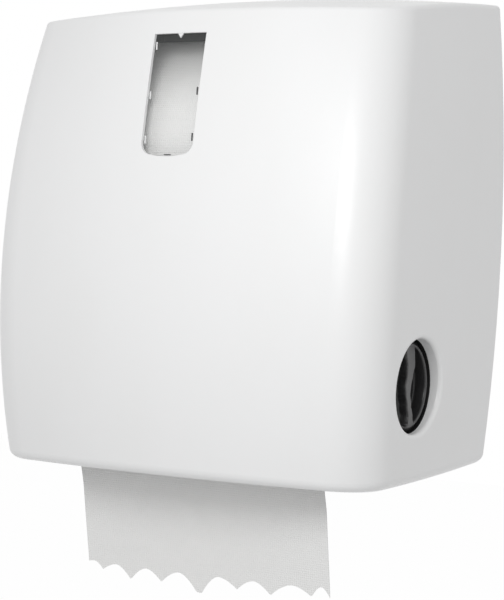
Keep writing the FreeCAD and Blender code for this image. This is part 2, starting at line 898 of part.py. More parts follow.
def make_roll():
    core = new_body("roll_core")
    half = size.roll_width / 2
    inner = size.core_radius - size.core_wall
    turned(core, [(-half, inner), (half, inner), (half, size.core_radius), (-half, size.core_radius)],
           roll_y, roll_z)
    roll = new_body("towel_roll")
    start = size.core_radius + size.running_gap
    turned(roll, [(-half, start), (half, start), (half, roll_radius), (-half, roll_radius)],
           roll_y, roll_z)


def make_spigot(label, side):
    """A roll spigot: a tapered nose inside the core, a flange and a stub shaft in the arm."""
    body = new_body(label)
    half = size.roll_width / 2 + size.free_gap
    nose = size.core_radius - size.core_wall - size.spigot_gap
    arm = roll_arm_x()
    tip = arm + size.arm_thickness + 3
    end = half - size.spigot_nose
    flange = half + size.spigot_flange
    points = [
        (end, 0.0), (end, nose - 3), (end + 4, nose), (half, nose), (half, size.spigot_flange_radius),
        (flange, size.spigot_flange_radius), (flange, size.spigot_shaft_radius),
        (tip, size.spigot_shaft_radius), (tip, 0.0),
    ]
    turned(body, [(x * side, radius) for x, radius in points], roll_y, roll_z)


def make_roll_arm(label, side):
    """A roll arm: a tapered plate from the back plate to the roll's axis."""
    start = roll_arm_x()
    if side < 0:
        start = -start - size.arm_thickness
    root = size.arm_root_height / 2
    tip = size.arm_tip_radius
    back = -size.back_thickness if side < 0 else -size.back_thickness - 2
    points = [
        (back, roll_z - root), (back, roll_z + root), (roll_y + 10, roll_z + tip), (roll_y - 8, roll_z + tip),
        (roll_y - tip, roll_z + 7), (roll_y - tip, roll_z - 7), (roll_y - 8, roll_z - tip),
        (roll_y + 10, roll_z - tip),
    ]
    hole = (roll_y, roll_z, size.spigot_shaft_radius + size.running_gap)
    body = plate(label, start, size.arm_thickness, points, [hole])
    if side > 0:
        barrel = sketch_on(body, "XY_Plane", roll_z - root)
        circle(barrel, arm_pin_x(), arm_pin_y(), size.arm_barrel_radius)
        pad(body, barrel, size.arm_root_height)
        bore = sketch_on(body, "XY_Plane", roll_z - root)
        circle(bore, arm_pin_x(), arm_pin_y(), size.arm_pin_radius + size.running_gap)
        pocket(body, bore, size.arm_root_height, reverse=True)
    else:
        foot = sketch_on(body, "XZ_Plane", size.back_thickness)
        end = start - size.arm_foot
        low, high = roll_z - root, roll_z + root
        outline(foot, [(end, low), (start, low), (start, high), (end, high)])
        pad(body, foot, 3.0)


def make_arm_pin():
    reach = size.arm_root_height / 2 + 8
    pin = post(arm_pin_x(), arm_pin_y(), roll_z - reach, roll_z + reach, size.arm_pin_radius)
    keep("arm_pivot_pin", pin)


# ---------------------------------------------------------------- drum and knife

def along_slot(out, across):
    """A place in the side view, measured from the drum's axis along and across the knife slot."""
    angle = math.radians(SLOT_ANGLE)
    out, across = formula(out), formula(across)
    y = drum_y - out * math.sin(angle) - across * math.cos(angle)
    z = drum_z + out * math.cos(angle) - across * math.sin(angle)
    return (y, z)


def slot_tool():
    """The block that opens the knife slot through the drum's skin."""
    depth_in = size.drum_radius.value / 2
    half = drum_length.value / 2 - size.slot_margin.value
    width = size.slot_width.value
    block = Part.makeBox(2 * half, width, size.drum_radius.value, Vector(-half, -width / 2 - 4, depth_in))
    block.rotate(Vector(0, 0, 0), Vector(1, 0, 0), SLOT_ANGLE)
    block.translate(Vector(0, drum_y.value, drum_z.value))
    return feature("SlotTool", block)


def drum_ring(x0, x1, outer, inner):
    return cut(rod(x0, x1, drum_y, drum_z, outer), rod(x0 - 1, x1 + 1, drum_y, drum_z, inner))


def band_centres():
    return [band_pitch * (step - (BAND_COUNT - 1) / 2) for step in range(BAND_COUNT)]


def groove_centres():
    return [band_pitch * (step + 1 - BAND_COUNT / 2) for step in range(BAND_COUNT - 1)]


def make_drum_half(label, upper):
    """Half of the drum's skin with its two half discs, split at the level of the shaft."""
    half = drum_length / 2
    skin = rod(-half, half, drum_y, drum_z, size.drum_radius)
    end = half - size.drum_end
    hollow = rod(-end, end, drum_y, drum_z, size.drum_radius - size.drum_wall)
    bore = rod(-half - 1, half + 1, drum_y, drum_z, size.shaft_radius + size.running_gap)
    reach = size.drum_radius + 5
    if upper:
        other = box(-half - 5, half + 5, drum_y - reach, drum_y + reach, drum_z - reach, drum_z)
    else:
        other = box(-half - 5, half + 5, drum_y - reach, drum_y + reach, drum_z, drum_z + reach)
    depth = size.drum_radius - size.band_depth
    bands = [drum_ring(x - size.band_width / 2, x + size.band_width / 2, size.drum_radius + 1, depth)
             for x in band_centres()]
    bottom = size.drum_radius - size.groove_depth
    grooves = [drum_ring(x - size.groove_width / 2, x + size.groove_width / 2, size.drum_radius + 1, bottom)
               for x in groove_centres()]
    pin_y, pin_z = along_slot(size.knife_pivot_out, size.knife_pivot_across)
    pin_hole = rod(-half - 1, half + 1, pin_y, pin_z, size.knife_pin_radius + size.running_gap)
    screw_holes = [rod(-half - 1, half + 1, y, z, size.drum_screw_radius) for y, z in drum_screw_places()]
    keep(label, cut(skin, hollow, bore, other, slot_tool(), pin_hole, *screw_holes, *bands, *grooves))


def make_drum_bands():
    gap = size.running_gap
    rings = [drum_ring(x - size.band_width / 2 + gap, x + size.band_width / 2 - gap, size.drum_radius,
                       size.drum_radius - size.band_depth + gap) for x in band_centres()]
    keep("drum_grip_bands", cut(fuse(*rings), slot_tool()))


def make_shaft():
    """The shaft runs from the crank disc on the left to the knob on the right."""
    left = -cheek_outer - size.ratchet_width - size.crank_width - 5
    right = knob_face_x() - size.knob_depth + 8
    shaft = rod(left, right, drum_y, drum_z, size.shaft_radius)
    keep("drum_shaft", cut(shaft, post(knob_pin_x(), drum_y, drum_z - 12, drum_z + 12, size.knob_pin_radius)))


def make_bush(label, side):
    body = new_body(label)
    bore = size.shaft_radius + size.running_gap
    near = cheek_inner - 2
    far = cheek_outer + 0.5
    points = [
        (near, bore), (near, size.bush_flange_radius), (cheek_inner, size.bush_flange_radius),
        (cheek_inner, size.bush_radius), (far, size.bush_radius), (far, bore),
    ]
    turned(body, [(x * side, radius) for x, radius in points], drum_y, drum_z)


def drum_screw_places():
    """Screws in the joint line of the drum halves: (y, z), the same at both end discs."""
    reach = size.drum_radius * 0.62
    return [(drum_y - reach, drum_z), (drum_y + reach, drum_z)]


def make_drum_screws():
    """Screws that hold the two drum halves together, their heads across the joint line."""
    half = drum_length / 2
    shank = size.drum_end + 1
    screws = []
    for y, z in drum_screw_places():
        screws.append(fuse(rod(half, half + FASTENER_HEAD, y, z, 3.0),
                           rod(half - shank, half + 1, y, z, size.drum_screw_radius)))
        screws.append(fuse(rod(-half - FASTENER_HEAD, -half, y, z, 3.0),
                           rod(-half - 1, -half + shank, y, z, size.drum_screw_radius)))
    keep("drum_screws", fuse(*screws))


def side_prism(name, x0, x1, points):
    """A prism along X over an outline of (y, z) places, with all corners on the line."""
    corners = [Vector(formula(x0).value, formula(y).value, formula(z).value) for y, z in points]
    face = Part.Face(Part.makePolygon(corners + corners[:1]))
    return feature(name, face.extrude(Vector(formula(x1).value - formula(x0).value, 0, 0)))


def make_knife():
    """The knife: a pivoted carrier inside the drum, a toothed blade on it, and a cam follower."""
    half = drum_length / 2 - size.knife_margin
    pivot_y, pivot_z = along_slot(size.knife_pivot_out, size.knife_pivot_across)
    barrel = rod(-half, half, pivot_y, pivot_z, size.carrier_radius)
    rise = size.knife_tip_out - size.knife_pivot_out
    reach = size.knife_tip_across - size.knife_pivot_across
    web = side_prism("KnifeWeb", -half, half, [
        along_slot(size.knife_pivot_out, size.knife_pivot_across - 2),
        along_slot(size.knife_pivot_out + rise * 0.5, size.knife_pivot_across + reach * 0.5),
        along_slot(size.knife_pivot_out + rise * 0.5 - 2.5, size.knife_pivot_across + reach * 0.5 - 1),
        along_slot(size.knife_pivot_out - 4, size.knife_pivot_across - 1),
    ])
    pin_hole = rod(-half - 1, half + 1, pivot_y, pivot_z, size.knife_pin_radius)
    keep("knife_carrier", cut(fuse(barrel, web), pin_hole))
    start = along_slot(size.knife_pivot_out + 1.2, size.knife_pivot_across - 1.4)
    end = along_slot(size.knife_tip_out, size.knife_tip_across)
    make_blade(start, end, half)
    make_follower(pivot_y, pivot_z, half)


def make_follower(pivot_y, pivot_z, half):
    """The knife's two pivot pins, the crank arm on the left one, and the roller that meets the cam."""
    outside = drum_length / 2
    arm_x = -outside - 2
    pin_right = rod(half - 10, outside + 1, pivot_y, pivot_z, size.knife_pin_radius)
    pin_left = rod(arm_x - 3, -half + 10, pivot_y, pivot_z, size.knife_pin_radius)
    keep("knife_pivots", fuse(pin_right, pin_left))
    follower_y, follower_z = follower_place()
    arm = side_prism("FollowerArm", arm_x - 3, arm_x, [
        (pivot_y - 1, pivot_z + 5), (pivot_y + 5, pivot_z), (pivot_y + 1, pivot_z - 5),
        (follower_y + 1, follower_z - 3.5), (follower_y - 3.5, follower_z),
        (follower_y - 1, follower_z + 3.5),
    ])
    hole = rod(arm_x - 4, arm_x + 1, pivot_y, pivot_z, size.knife_pin_radius)
    keep("knife_arm", cut(arm, hole))
    keep("cam_follower", rod(arm_x - 8, arm_x - 3, follower_y, follower_z, size.follower_radius))
    coil = rod(half + 0.3, outside - size.drum_end - 0.3, pivot_y, pivot_z, 3.5)
    bore = rod(half, outside - size.drum_end, pivot_y, pivot_z, size.knife_pin_radius + size.running_gap)
    keep("knife_spring", cut(coil, bore))


def follower_place():
    """Centre of the cam follower at rest, on its orbit round the drum's axis."""
    out = math.sqrt(size.follower_orbit.value ** 2 - size.follower_across.value ** 2)
    return along_slot(out, size.follower_across)


def make_cam():
    """The cam on the left cheek: a round track that holds the knife in, open where the knife cuts."""
    inside = size.follower_orbit - size.follower_radius - size.free_gap
    outside = size.follower_orbit + size.follower_radius + size.free_gap
    bore = size.bush_flange_radius + size.free_gap
    seat = -cheek_inner
    face = -drum_length / 2 - 5.5
    flange = rod(seat, seat + 3, drum_y, drum_z, size.cam_flange_radius)
    hub = rod(seat, face, drum_y, drum_z, inside)
    gaps = [wedge(seat - 1, face + 1, low, high) for low, high in (CUT_GAP, LOADING_NOTCH)]
    wall = cut(drum_ring(seat, face, outside + size.track_wall, outside), *gaps)
    hole = rod(seat - 1, face + 1, drum_y, drum_z, bore)
    keep("cam_plate", cut(fuse(flange, hub, wall), hole))


def wedge(x0, x1, low, high):
    """A wedge about the drum's axis between two angles from straight up, towards the front."""
    reach = 2 * size.cam_flange_radius
    places = [(drum_y, drum_z), polar(low, reach), polar((low + high) / 2, reach), polar(high, reach)]
    return side_prism("Wedge", x0, x1, places)


def polar(angle, radius):
    """A place in the side view at an angle from straight up, towards the front, about the drum."""
    return (drum_y - formula(radius) * sine(angle), drum_z + formula(radius) * cosine(angle))


def make_blade(start, end, half):
    """The blade: a flat strip whose free edge is cut into large teeth."""
    start = Vector(0, start[0].value, start[1].value)
    end = Vector(0, end[0].value, end[1].value)
    along = (end - start).normalize()
    across = Vector(1, 0, 0).cross(along)
    length = (end - start).Length
    count = int(size.knife_teeth.value)
    pitch = 2 * half.value / count
    depth = size.knife_tooth_depth.value
    root = length - depth
    corners = [(-half.value, length * 0.35), (-half.value, root)]
    for tooth in range(count):
        corners.append((-half.value + pitch * (tooth + 0.5), length))
        corners.append((-half.value + pitch * (tooth + 1), root))
    corners.append((half.value, length * 0.35))
    points = [start + Vector(x, 0, 0) + along * reach for x, reach in corners]
    face = Part.Face(Part.makePolygon(points + points[:1]))
    keep("knife_blade", feature("KnifeBlade", face.extrude(across * size.knife_thickness.value)))


# ---------------------------------------------------------------- drive behind the left cheek

def drive_x(step):
    """Places along the drive, counted outwards from the left cheek."""
    places = {
        "ratchet": -cheek_outer - 1.0,
        "crank": -cheek_outer - 2.0 - size.ratchet_width,
        "spring": -cheek_outer - 2.5 - size.ratchet_width - size.crank_width - size.spring_radius,
        "case": -cheek_outer - size.case_depth,
    }
    return places[step]


def make_ratchet():
    """The ratchet wheel: steep faces stop the drum from turning back."""
    count = int(size.ratchet_teeth.value)
    step = 360.0 / count
    places = []
    for tooth in range(count):
        places.append(polar(step * tooth, size.ratchet_radius - size.ratchet_depth))
        places.append(polar(step * tooth + 1.0, size.ratchet_radius))
    x1 = drive_x("ratchet")
    x0 = x1 - size.ratchet_width
    wheel = side_prism("RatchetWheel", x0, x1, places)
    bore = rod(x0 - 1, x1 + 1, drum_y, drum_z, size.shaft_radius + size.running_gap)
    keep("ratchet_wheel", cut(wheel, bore))


def lifted(place, pivot):
    """A place in the side view, turned about the pawl's pin to where the pawl rides on the tooth tips."""
    y = place[0] - pivot[0]
    z = place[1] - pivot[1]
    across = y * cosine(PAWL_LIFT) + z * sine(PAWL_LIFT)
    up = z * cosine(PAWL_LIFT) - y * sine(PAWL_LIFT)
    return (pivot[0] + across, pivot[1] + up)


def make_pawl():
    """The pawl, riding on the tooth tips as it does while the drum turns."""
    root = size.ratchet_radius - size.ratchet_depth
    tip = size.ratchet_radius
    places = [
        polar(-31.2, root + 0.5), polar(-30.8, tip + 2.5), polar(-55, tip + 7), polar(-72, tip + 13),
        polar(-90, tip + 10), polar(-84, tip + 4.5), polar(-60, tip + 1), polar(-38, tip - 0.8),
    ]
    x1 = drive_x("ratchet")
    x0 = x1 - size.ratchet_width
    pivot = polar(-80, tip + 9)
    bore = size.pawl_pin_radius + size.running_gap
    hole = rod(x0 - 1, x1 + 1, pivot[0], pivot[1], bore)
    blank = side_prism("PawlBlank", x0, x1, [lifted(place, pivot) for place in places])
    keep("pawl", cut(blank, hole))
    keep("pawl_pin", rod(x0 - 4, -cheek_outer, pivot[0], pivot[1], size.pawl_pin_radius))
    coil = rod(x0 - 3.3, x0 - 0.3, pivot[0], pivot[1], size.pawl_spring_radius)
    keep("pawl_spring", cut(coil, rod(x0 - 4, x0, pivot[0], pivot[1], bore)))


def make_crank():
    """The crank disc and its pin, and the tension spring that carries each turn to its end."""
    x1 = drive_x("crank")
    x0 = x1 - size.crank_width
    spring_x = drive_x("spring")
    pin_z = drum_z + size.crank_throw
    disc = rod(x0, x1, drum_y, drum_z, size.crank_radius)
    pin = rod(spring_x - 3, x0, drum_y, pin_z, 2.0)
    bore = rod(x0 - 1, x1 + 1, drum_y, drum_z, size.shaft_radius + size.running_gap)
    keep("crank_disc", cut(fuse(disc, pin), bore))
    post_z = floor + size.spring_post_height
    keep("spring_post", rod(spring_x - 3, -cheek_outer, drum_y, post_z, 2.0))
    eyes = []
    for z in (pin_z, post_z):
        ring = rod(spring_x - 0.6, spring_x + 0.6, drum_y, z, 3.6)
        eyes.append(cut(ring, rod(spring_x - 1, spring_x + 1, drum_y, z, 2.0 + size.running_gap)))
    coil = post(spring_x, drum_y, pin_z + 3, post_z - 3, size.spring_radius)
    bore = post(spring_x, drum_y, pin_z + 6, post_z - 6, size.spring_radius - 1)
    keep("assist_spring", fuse(cut(coil, bore), *eyes))


def case_places(inset):
    """The outline of the drive case round the wheels and the spring."""
    half = size.case_margin - inset
    top = floor + size.spring_post_height + 12 - inset
    corner = formula(8.0)
    low = drum_z - half
    return [
        (drum_y - half, low + corner), (drum_y - half + corner, low), (drum_y + half - corner, low),
        (drum_y + half, low + corner), (drum_y + half, top - corner), (drum_y + half - corner, top),
        (drum_y - half + corner, top), (drum_y - half, top - corner),
    ]


def case_screw_places():
    half = size.case_margin - 7.5
    top = floor + size.spring_post_height
    return [(drum_y + half * side, z) for z in (top, drum_z - half) for side in (-1, 1)]


def make_drive_case():
    outer_x = drive_x("case")
    body = plate("drive_case", outer_x, size.case_depth, case_places(0.0))
    hollow = sketch_on(body, "YZ_Plane", -cheek_outer)
    outline(hollow, case_places(size.case_wall))
    pocket(body, hollow, size.case_depth - size.case_wall)
    for y, z in case_screw_places():
        boss = sketch_on(body, "YZ_Plane", outer_x)
        circle(boss, y, z, 4.0)
        pad(body, boss, size.case_depth)
    for y, z in case_screw_places():
        bore = sketch_on(body, "YZ_Plane", outer_x)
        circle(bore, y, z, 1.5 + size.running_gap)
        pocket(body, bore, size.case_depth, reverse=True)
    screws = []
    for y, z in case_screw_places():
        head = rod(outer_x - FASTENER_HEAD, outer_x, y, z, 3.0)
        screws.append(fuse(head, rod(outer_x - 1, -cheek_outer, y, z, 1.5)))
    keep("case_screws", fuse(*screws))


# ---------------------------------------------------------------- feed knob

def grip_bar(face, depth):
    """The wavy bar across the knob: two S-shaped sides, full height of the hollow."""
    reach = size.knob_radius.value
    half = size.knob_grip.value / 2
    steps = 8
    sides = []
    for side in (-1, 1):
        places = []
        for step in range(steps + 1):
            share = 2.0 * step / steps - 1.0
            wave = 3.0 * math.sin(math.pi * share)
            waist = half * (0.75 + 0.45 * share ** 2)
            y = drum_y.value + side * waist + wave
            places.append(Vector(face - depth, y, drum_z.value + reach * share))
        curve = Part.BSplineCurve()
        curve.interpolate(places)
        sides.append((curve.toShape(), places))
    low = Part.makeLine(sides[0][1][0], sides[1][1][0])
    high = Part.makeLine(sides[0][1][-1], sides[1][1][-1])
    face_shape = Part.Face(Part.Wire([sides[0][0], high, sides[1][0].reversed(), low.reversed()]))
    return face_shape.extrude(Vector(depth, 0, 0))


def knob_pin_x():
    return cheek_outer + 6


def make_knob():
    """The feed knob: a rimmed wheel with a hub on the shaft and two hollows each side of the grip."""
    face = knob_face_x()
    back = face - size.knob_depth
    hub_end = cheek_outer + 1.0
    radius = size.knob_radius
    body = new_body("knob_blank")
    turned(body, [
        (hub_end, size.shaft_radius + size.running_gap), (hub_end, 11.0), (back, 11.0), (back, radius - 1.5),
        (back + 1.5, radius), (face - 1.5, radius), (face, radius - 1.5), (face, 0.0),
        (back + 8, 0.0), (back + 8, size.shaft_radius + size.running_gap),
    ], drum_y, drum_z)
    del pieces["knob_blank"]
    hollow = rod(face - size.knob_hollow, face + 1, drum_y, drum_z, radius - size.knob_rim)
    bar = feature("GripBar", grip_bar(face.value - 0.2, size.knob_hollow.value))
    pin_hole = post(knob_pin_x(), drum_y, drum_z - 12, drum_z + 12, size.knob_pin_radius)
    keep("feed_knob", cut(body, cut(hollow, bar), pin_hole))
    keep("knob_pin", post(knob_pin_x(), drum_y, drum_z - 10.5, drum_z + 10.5, size.knob_pin_radius))


# ---------------------------------------------------------------- pinch roller

def make_pinch():
    """A sprung frame that presses a rubber roller on the towel."""
    arm_out = cheek_inner - size.pinch_arm_inset
    arm_in = arm_out - size.pinch_arm
    reach = size.pinch_arm_radius
    arms = []
    for low, high in ((arm_in, arm_out), (-arm_out, -arm_in)):
        side = side_prism("PinchArm", low, high, [
            (pinch_pivot_y + reach, pinch_pivot_z), (pinch_pivot_y + reach, pinch_pivot_z + reach),
            (pinch_pivot_y - reach, pinch_pivot_z + reach), (pinch_y - reach, pinch_z),
            (pinch_y - reach + 3, pinch_z - reach + 1), (pinch_y + reach - 2, pinch_z - reach + 2),
            (pinch_y + reach, pinch_z),
        ])
        arms.append(side)
    bar = box(-arm_out, arm_out, pinch_pivot_y - reach, pinch_pivot_y - reach + 3, pinch_pivot_z - 8,
              pinch_pivot_z + reach)
    pivot_bore = size.hinge_pin_radius + size.running_gap
    shaft_bore = size.pinch_shaft_radius + size.running_gap
    pivot_hole = rod(-arm_out - 1, arm_out + 1, pinch_pivot_y, pinch_pivot_z, pivot_bore)
    shaft_hole = rod(-arm_out - 1, arm_out + 1, pinch_y, pinch_z, shaft_bore)
    keep("pinch_frame", cut(fuse(bar, *arms), pivot_hole, shaft_hole))
    pivots = [rod(low, high, pinch_pivot_y, pinch_pivot_z, size.hinge_pin_radius)
              for low, high in ((arm_in - 1, cheek_outer), (-cheek_outer, -arm_in + 1))]
    keep("pinch_pivots", fuse(*pivots))
    springs = []
    near, far = arm_out + size.free_gap, cheek_inner - size.free_gap
    for low, high in ((near, far), (-far, -near)):
        coil = rod(low, high, pinch_pivot_y, pinch_pivot_z, size.pinch_spring_radius)
        springs.append(cut(coil, rod(low - 1, high + 1, pinch_pivot_y, pinch_pivot_z, pivot_bore)))
    keep("pinch_springs", fuse(*springs))
    keep("pinch_shaft", rod(-arm_out - 1, arm_out + 1, pinch_y, pinch_z, size.pinch_shaft_radius))
    sleeves = []
    for x in band_centres():
        low = x - size.pinch_sleeve_width / 2
        high = x + size.pinch_sleeve_width / 2
        sleeve = rod(low, high, pinch_y, pinch_z, size.pinch_radius)
        sleeves.append(cut(sleeve, rod(low - 1, high + 1, pinch_y, pinch_z, size.pinch_shaft_radius)))
    keep("pinch_sleeves", fuse(*sleeves))


# ---------------------------------------------------------------- towel path

def towel_meets_drum():
    """Angle, from straight up towards the front, at which the towel lands on the drum."""
    dy = roll_y.value - drum_y.value
    dz = roll_z.value - drum_z.value
    distance = math.hypot(dy, dz)
    reach = sheet_radius.value + size.towel_thickness.value + roll_radius.value + size.towel_gap.value
    lean = math.degrees(math.atan2(-dy, dz))
    return lean + math.degrees(math.acos(reach / distance))


def towel_line(offset):
    """The towel's path in the side view at one of its faces: roll, drum, and straight to the mouth."""
    land = towel_meets_drum()
    leave = 90.0 + size.towel_angle.value
    radius = sheet_radius.value + offset
    roll_reach = roll_radius.value + size.towel_gap.value + size.towel_thickness.value - offset

    def on_drum(angle):
        turn = math.radians(angle)
        return Vector(0, drum_y.value - radius * math.sin(turn), drum_z.value + radius * math.cos(turn))

    turn = math.radians(land)
    start = Vector(0, roll_y.value + roll_reach * math.sin(turn), roll_z.value - roll_reach * math.cos(turn))
    slope = math.tan(math.radians(size.towel_angle.value))
    last = on_drum(leave)

    def down_to(height):
        z = floor.value + height
        return Vector(0, last.y + (last.z - z) * slope, z)

    return start, on_drum(land), on_drum((land + leave) / 2), last, down_to


def make_towel():
    inner = towel_line(0.0)
    outer = towel_line(size.towel_thickness.value)
    mouth = size.mouth_height.value
    edges = [
        Part.makeLine(outer[0], outer[1]),
        Part.Arc(outer[1], outer[2], outer[3]).toShape(),
        Part.makeLine(outer[3], outer[4](mouth)),
        Part.makeLine(outer[4](mouth), inner[4](mouth)),
        Part.makeLine(inner[4](mouth), inner[3]),
        Part.Arc(inner[3], inner[2], inner[1]).toShape(),
        Part.makeLine(inner[1], inner[0]),
        Part.makeLine(inner[0], outer[0]),
    ]
    half = size.roll_width.value / 2
    web = Part.Face(Part.Wire(edges)).extrude(Vector(2 * half, 0, 0))
    web.translate(Vector(-half, 0, 0))
    keep("towel_web", feature("TowelWeb", web))

    end = size.tail_end.value - size.tail_tooth.value
    corners = [outer[4](mouth), outer[4](end), inner[4](end), inner[4](mouth)]
    strip = Part.Face(Part.makePolygon(corners + corners[:1])).extrude(Vector(2 * half, 0, 0))
    strip.translate(Vector(-half, 0, 0))
    keep("towel_tail", feature("TowelTail", strip.common(torn_outline(half))))


def torn_outline(half):
    """The front view of the hanging towel, with its torn saw-tooth edge, as a deep prism."""
    count = int(size.knife_teeth.value)
    pitch = 2 * half / count
    low = floor.value + size.tail_end.value
    high = low + size.tail_tooth.value
    front = -size.cover_depth.value
    above = drum_z.value
    corners = [Vector(-half, front, above), Vector(-half, front, high)]
    for tooth in range(count):
        corners.append(Vector(-half + pitch * (tooth + 0.5), front, low))
        corners.append(Vector(-half + pitch * (tooth + 1), front, high))
    corners.append(Vector(half, front, above))
    return Part.Face(Part.makePolygon(corners + corners[:1])).extrude(Vector(0, -front, 0))


def towel_y(height, offset):
    """Y of the towel's rear face below the drum, moved by an offset towards the front."""
    return towel_line(0.0)[4](height).y - offset


def make_chute():
    """The guide in front of the towel at the mouth."""
    top, low = size.chute_top.value, size.chute_bottom.value
    near = size.towel_thickness.value + size.chute_gap.value
    far = near + size.chute_thickness.value
    points = [
        (towel_y(top, near + 4), floor + top), (towel_y(low, near), floor + low),
        (towel_y(low, near) - 10, floor + low - 2), (towel_y(low, near) - 10, floor + low),
        (towel_y(low, far), floor + low + 2), (towel_y(top, far + 4), floor + top),
    ]
    keep("towel_chute", side_prism("TowelChute", -cheek_inner, cheek_inner, points))


def make_comb():
    """The stripper comb: a bar between the cheeks with a finger in each groove of the drum."""
    low = size.comb_base.value
    tip = size.comb_tip.value
    near = towel_y(low, -size.comb_gap.value)
    far = near + size.comb_bar.value
    bar = box(-cheek_inner, cheek_inner, near, far, floor + low - 3, floor + low + 3)
    fingers = []
    for x in groove_centres():
        width = size.groove_width * 0.6
        points = [
            (towel_y(tip, -0.7), floor + tip), (towel_y(tip, -1.7), floor + tip),
            polar(125.4, size.drum_radius - 0.35), polar(146.9, size.drum_radius + 3.05),
            ((near + far) / 2 + 1, floor + low), (near + 0.2, floor + low),
        ]
        fingers.append(side_prism("CombFinger", x - width / 2, x + width / 2, points))
    keep("stripper_comb", fuse(bar, *fingers))


# ---------------------------------------------------------------- build and write

def check_pieces():
    """Stops when an object of the document failed or a piece has no valid shape."""
    for thing in document.Objects:
        if "Invalid" in thing.State or "Error" in thing.State:
            raise RuntimeError("%s (%s) failed: %s" % (thing.Name, thing.Label, thing.State))
    for label, thing in pieces.items():
        if thing.Shape.isNull() or not thing.Shape.isValid():
            raise RuntimeError("%s has no valid shape" % label)


def write_pieces():
    os.makedirs("parts", exist_ok=True)
    for label, thing in pieces.items():
        thing.Shape.exportStep("parts/%s.step" % label)
        print("%-20s solids %2d volume %10.1f" % (label, len(thing.Shape.Solids), thing.Shape.Volume))


make_cover()
make_window_insert()
make_hinge_pins()
make_lock()
make_back_plate()
make_cheek("left_cheek", -1)
make_cheek("right_cheek", 1)
make_cheek_screws()
make_roll()
make_spigot("spigot_left", -1)
make_spigot("spigot_right", 1)
make_roll_arm("roll_arm_left", -1)
make_roll_arm("roll_arm_right", 1)
make_arm_pin()
make_drum_half("drum_upper_half", True)
make_drum_half("drum_lower_half", False)
make_drum_bands()
make_shaft()
make_bush("drum_bush_left", -1)
make_bush("drum_bush_right", 1)
make_drum_screws()
make_knife()
make_cam()
make_ratchet()
make_pawl()
make_crank()
make_drive_case()
make_knob()
make_pinch()
make_towel()
make_chute()
make_comb()
document.recompute()
check_pieces()
write_pieces()
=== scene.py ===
"""Dresses a wall-mounted roll towel dispenser: finishes, sculpted pieces, lamp and camera.

Every length is in metres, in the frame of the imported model: X to the right, Y into the wall and Z up.
"""

import logging
import math
import random
from collections.abc import Iterator, Sequence
from contextlib import contextmanager
from dataclasses import dataclass
from enum import Enum
from typing import ClassVar, NamedTuple

import bpy
from mathutils import Matrix, Vector


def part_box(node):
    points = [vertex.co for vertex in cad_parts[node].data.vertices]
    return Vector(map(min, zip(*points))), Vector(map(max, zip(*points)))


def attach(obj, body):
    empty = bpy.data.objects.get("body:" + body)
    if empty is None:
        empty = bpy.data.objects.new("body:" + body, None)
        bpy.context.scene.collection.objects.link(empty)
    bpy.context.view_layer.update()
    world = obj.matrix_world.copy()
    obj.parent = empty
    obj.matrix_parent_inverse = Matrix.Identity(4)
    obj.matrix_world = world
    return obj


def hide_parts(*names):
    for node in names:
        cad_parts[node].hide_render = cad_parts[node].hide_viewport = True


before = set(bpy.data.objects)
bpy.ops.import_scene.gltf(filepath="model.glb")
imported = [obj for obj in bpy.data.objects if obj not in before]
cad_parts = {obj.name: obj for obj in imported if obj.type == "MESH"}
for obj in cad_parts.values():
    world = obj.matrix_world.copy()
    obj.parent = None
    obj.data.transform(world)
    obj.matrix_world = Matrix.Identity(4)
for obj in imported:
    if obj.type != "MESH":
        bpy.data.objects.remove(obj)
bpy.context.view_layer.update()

log = logging.getLogger("dispenser")

MM = 0.001
TURN = 2.0 * math.pi
UP = Vector((0.0, 0.0, 1.0))
RIGHTWARD = Vector((1.0, 0.0, 0.0))
WHITE = (1.0, 1.0, 1.0)
Colour = tuple[float, float, float]
Point = Sequence[float]
Piece = bpy.types.Object


class Box(NamedTuple):
    """A node's box, as its low and high corners."""

    low: Vector
    high: Vector

    @classmethod
    def of(cls, node: str) -> "Box":
        """The box of a node."""
        return cls(*(Vector(corner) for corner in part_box(node)))

    @property
    def centre(self) -> Vector:
        """Its middle."""
        return (self.low + self.high) / 2

    @property
    def radius(self) -> float:
        """The radius of a node that is round about a line along X."""
        return (self.high.z - self.low.z) / 2


def ramp(share: float) -> float:
    """A smooth step of a share: 0 below 0 and 1 above 1."""
    share = min(1.0, max(0.0, share))
    return share * share * (3.0 - 2.0 * share)


def inset(low: float, high: float, by: float) -> tuple[float, float]:
    """The two places inside a span that lie this far from its ends."""
    return low + by, high - by


# ---- shader maths

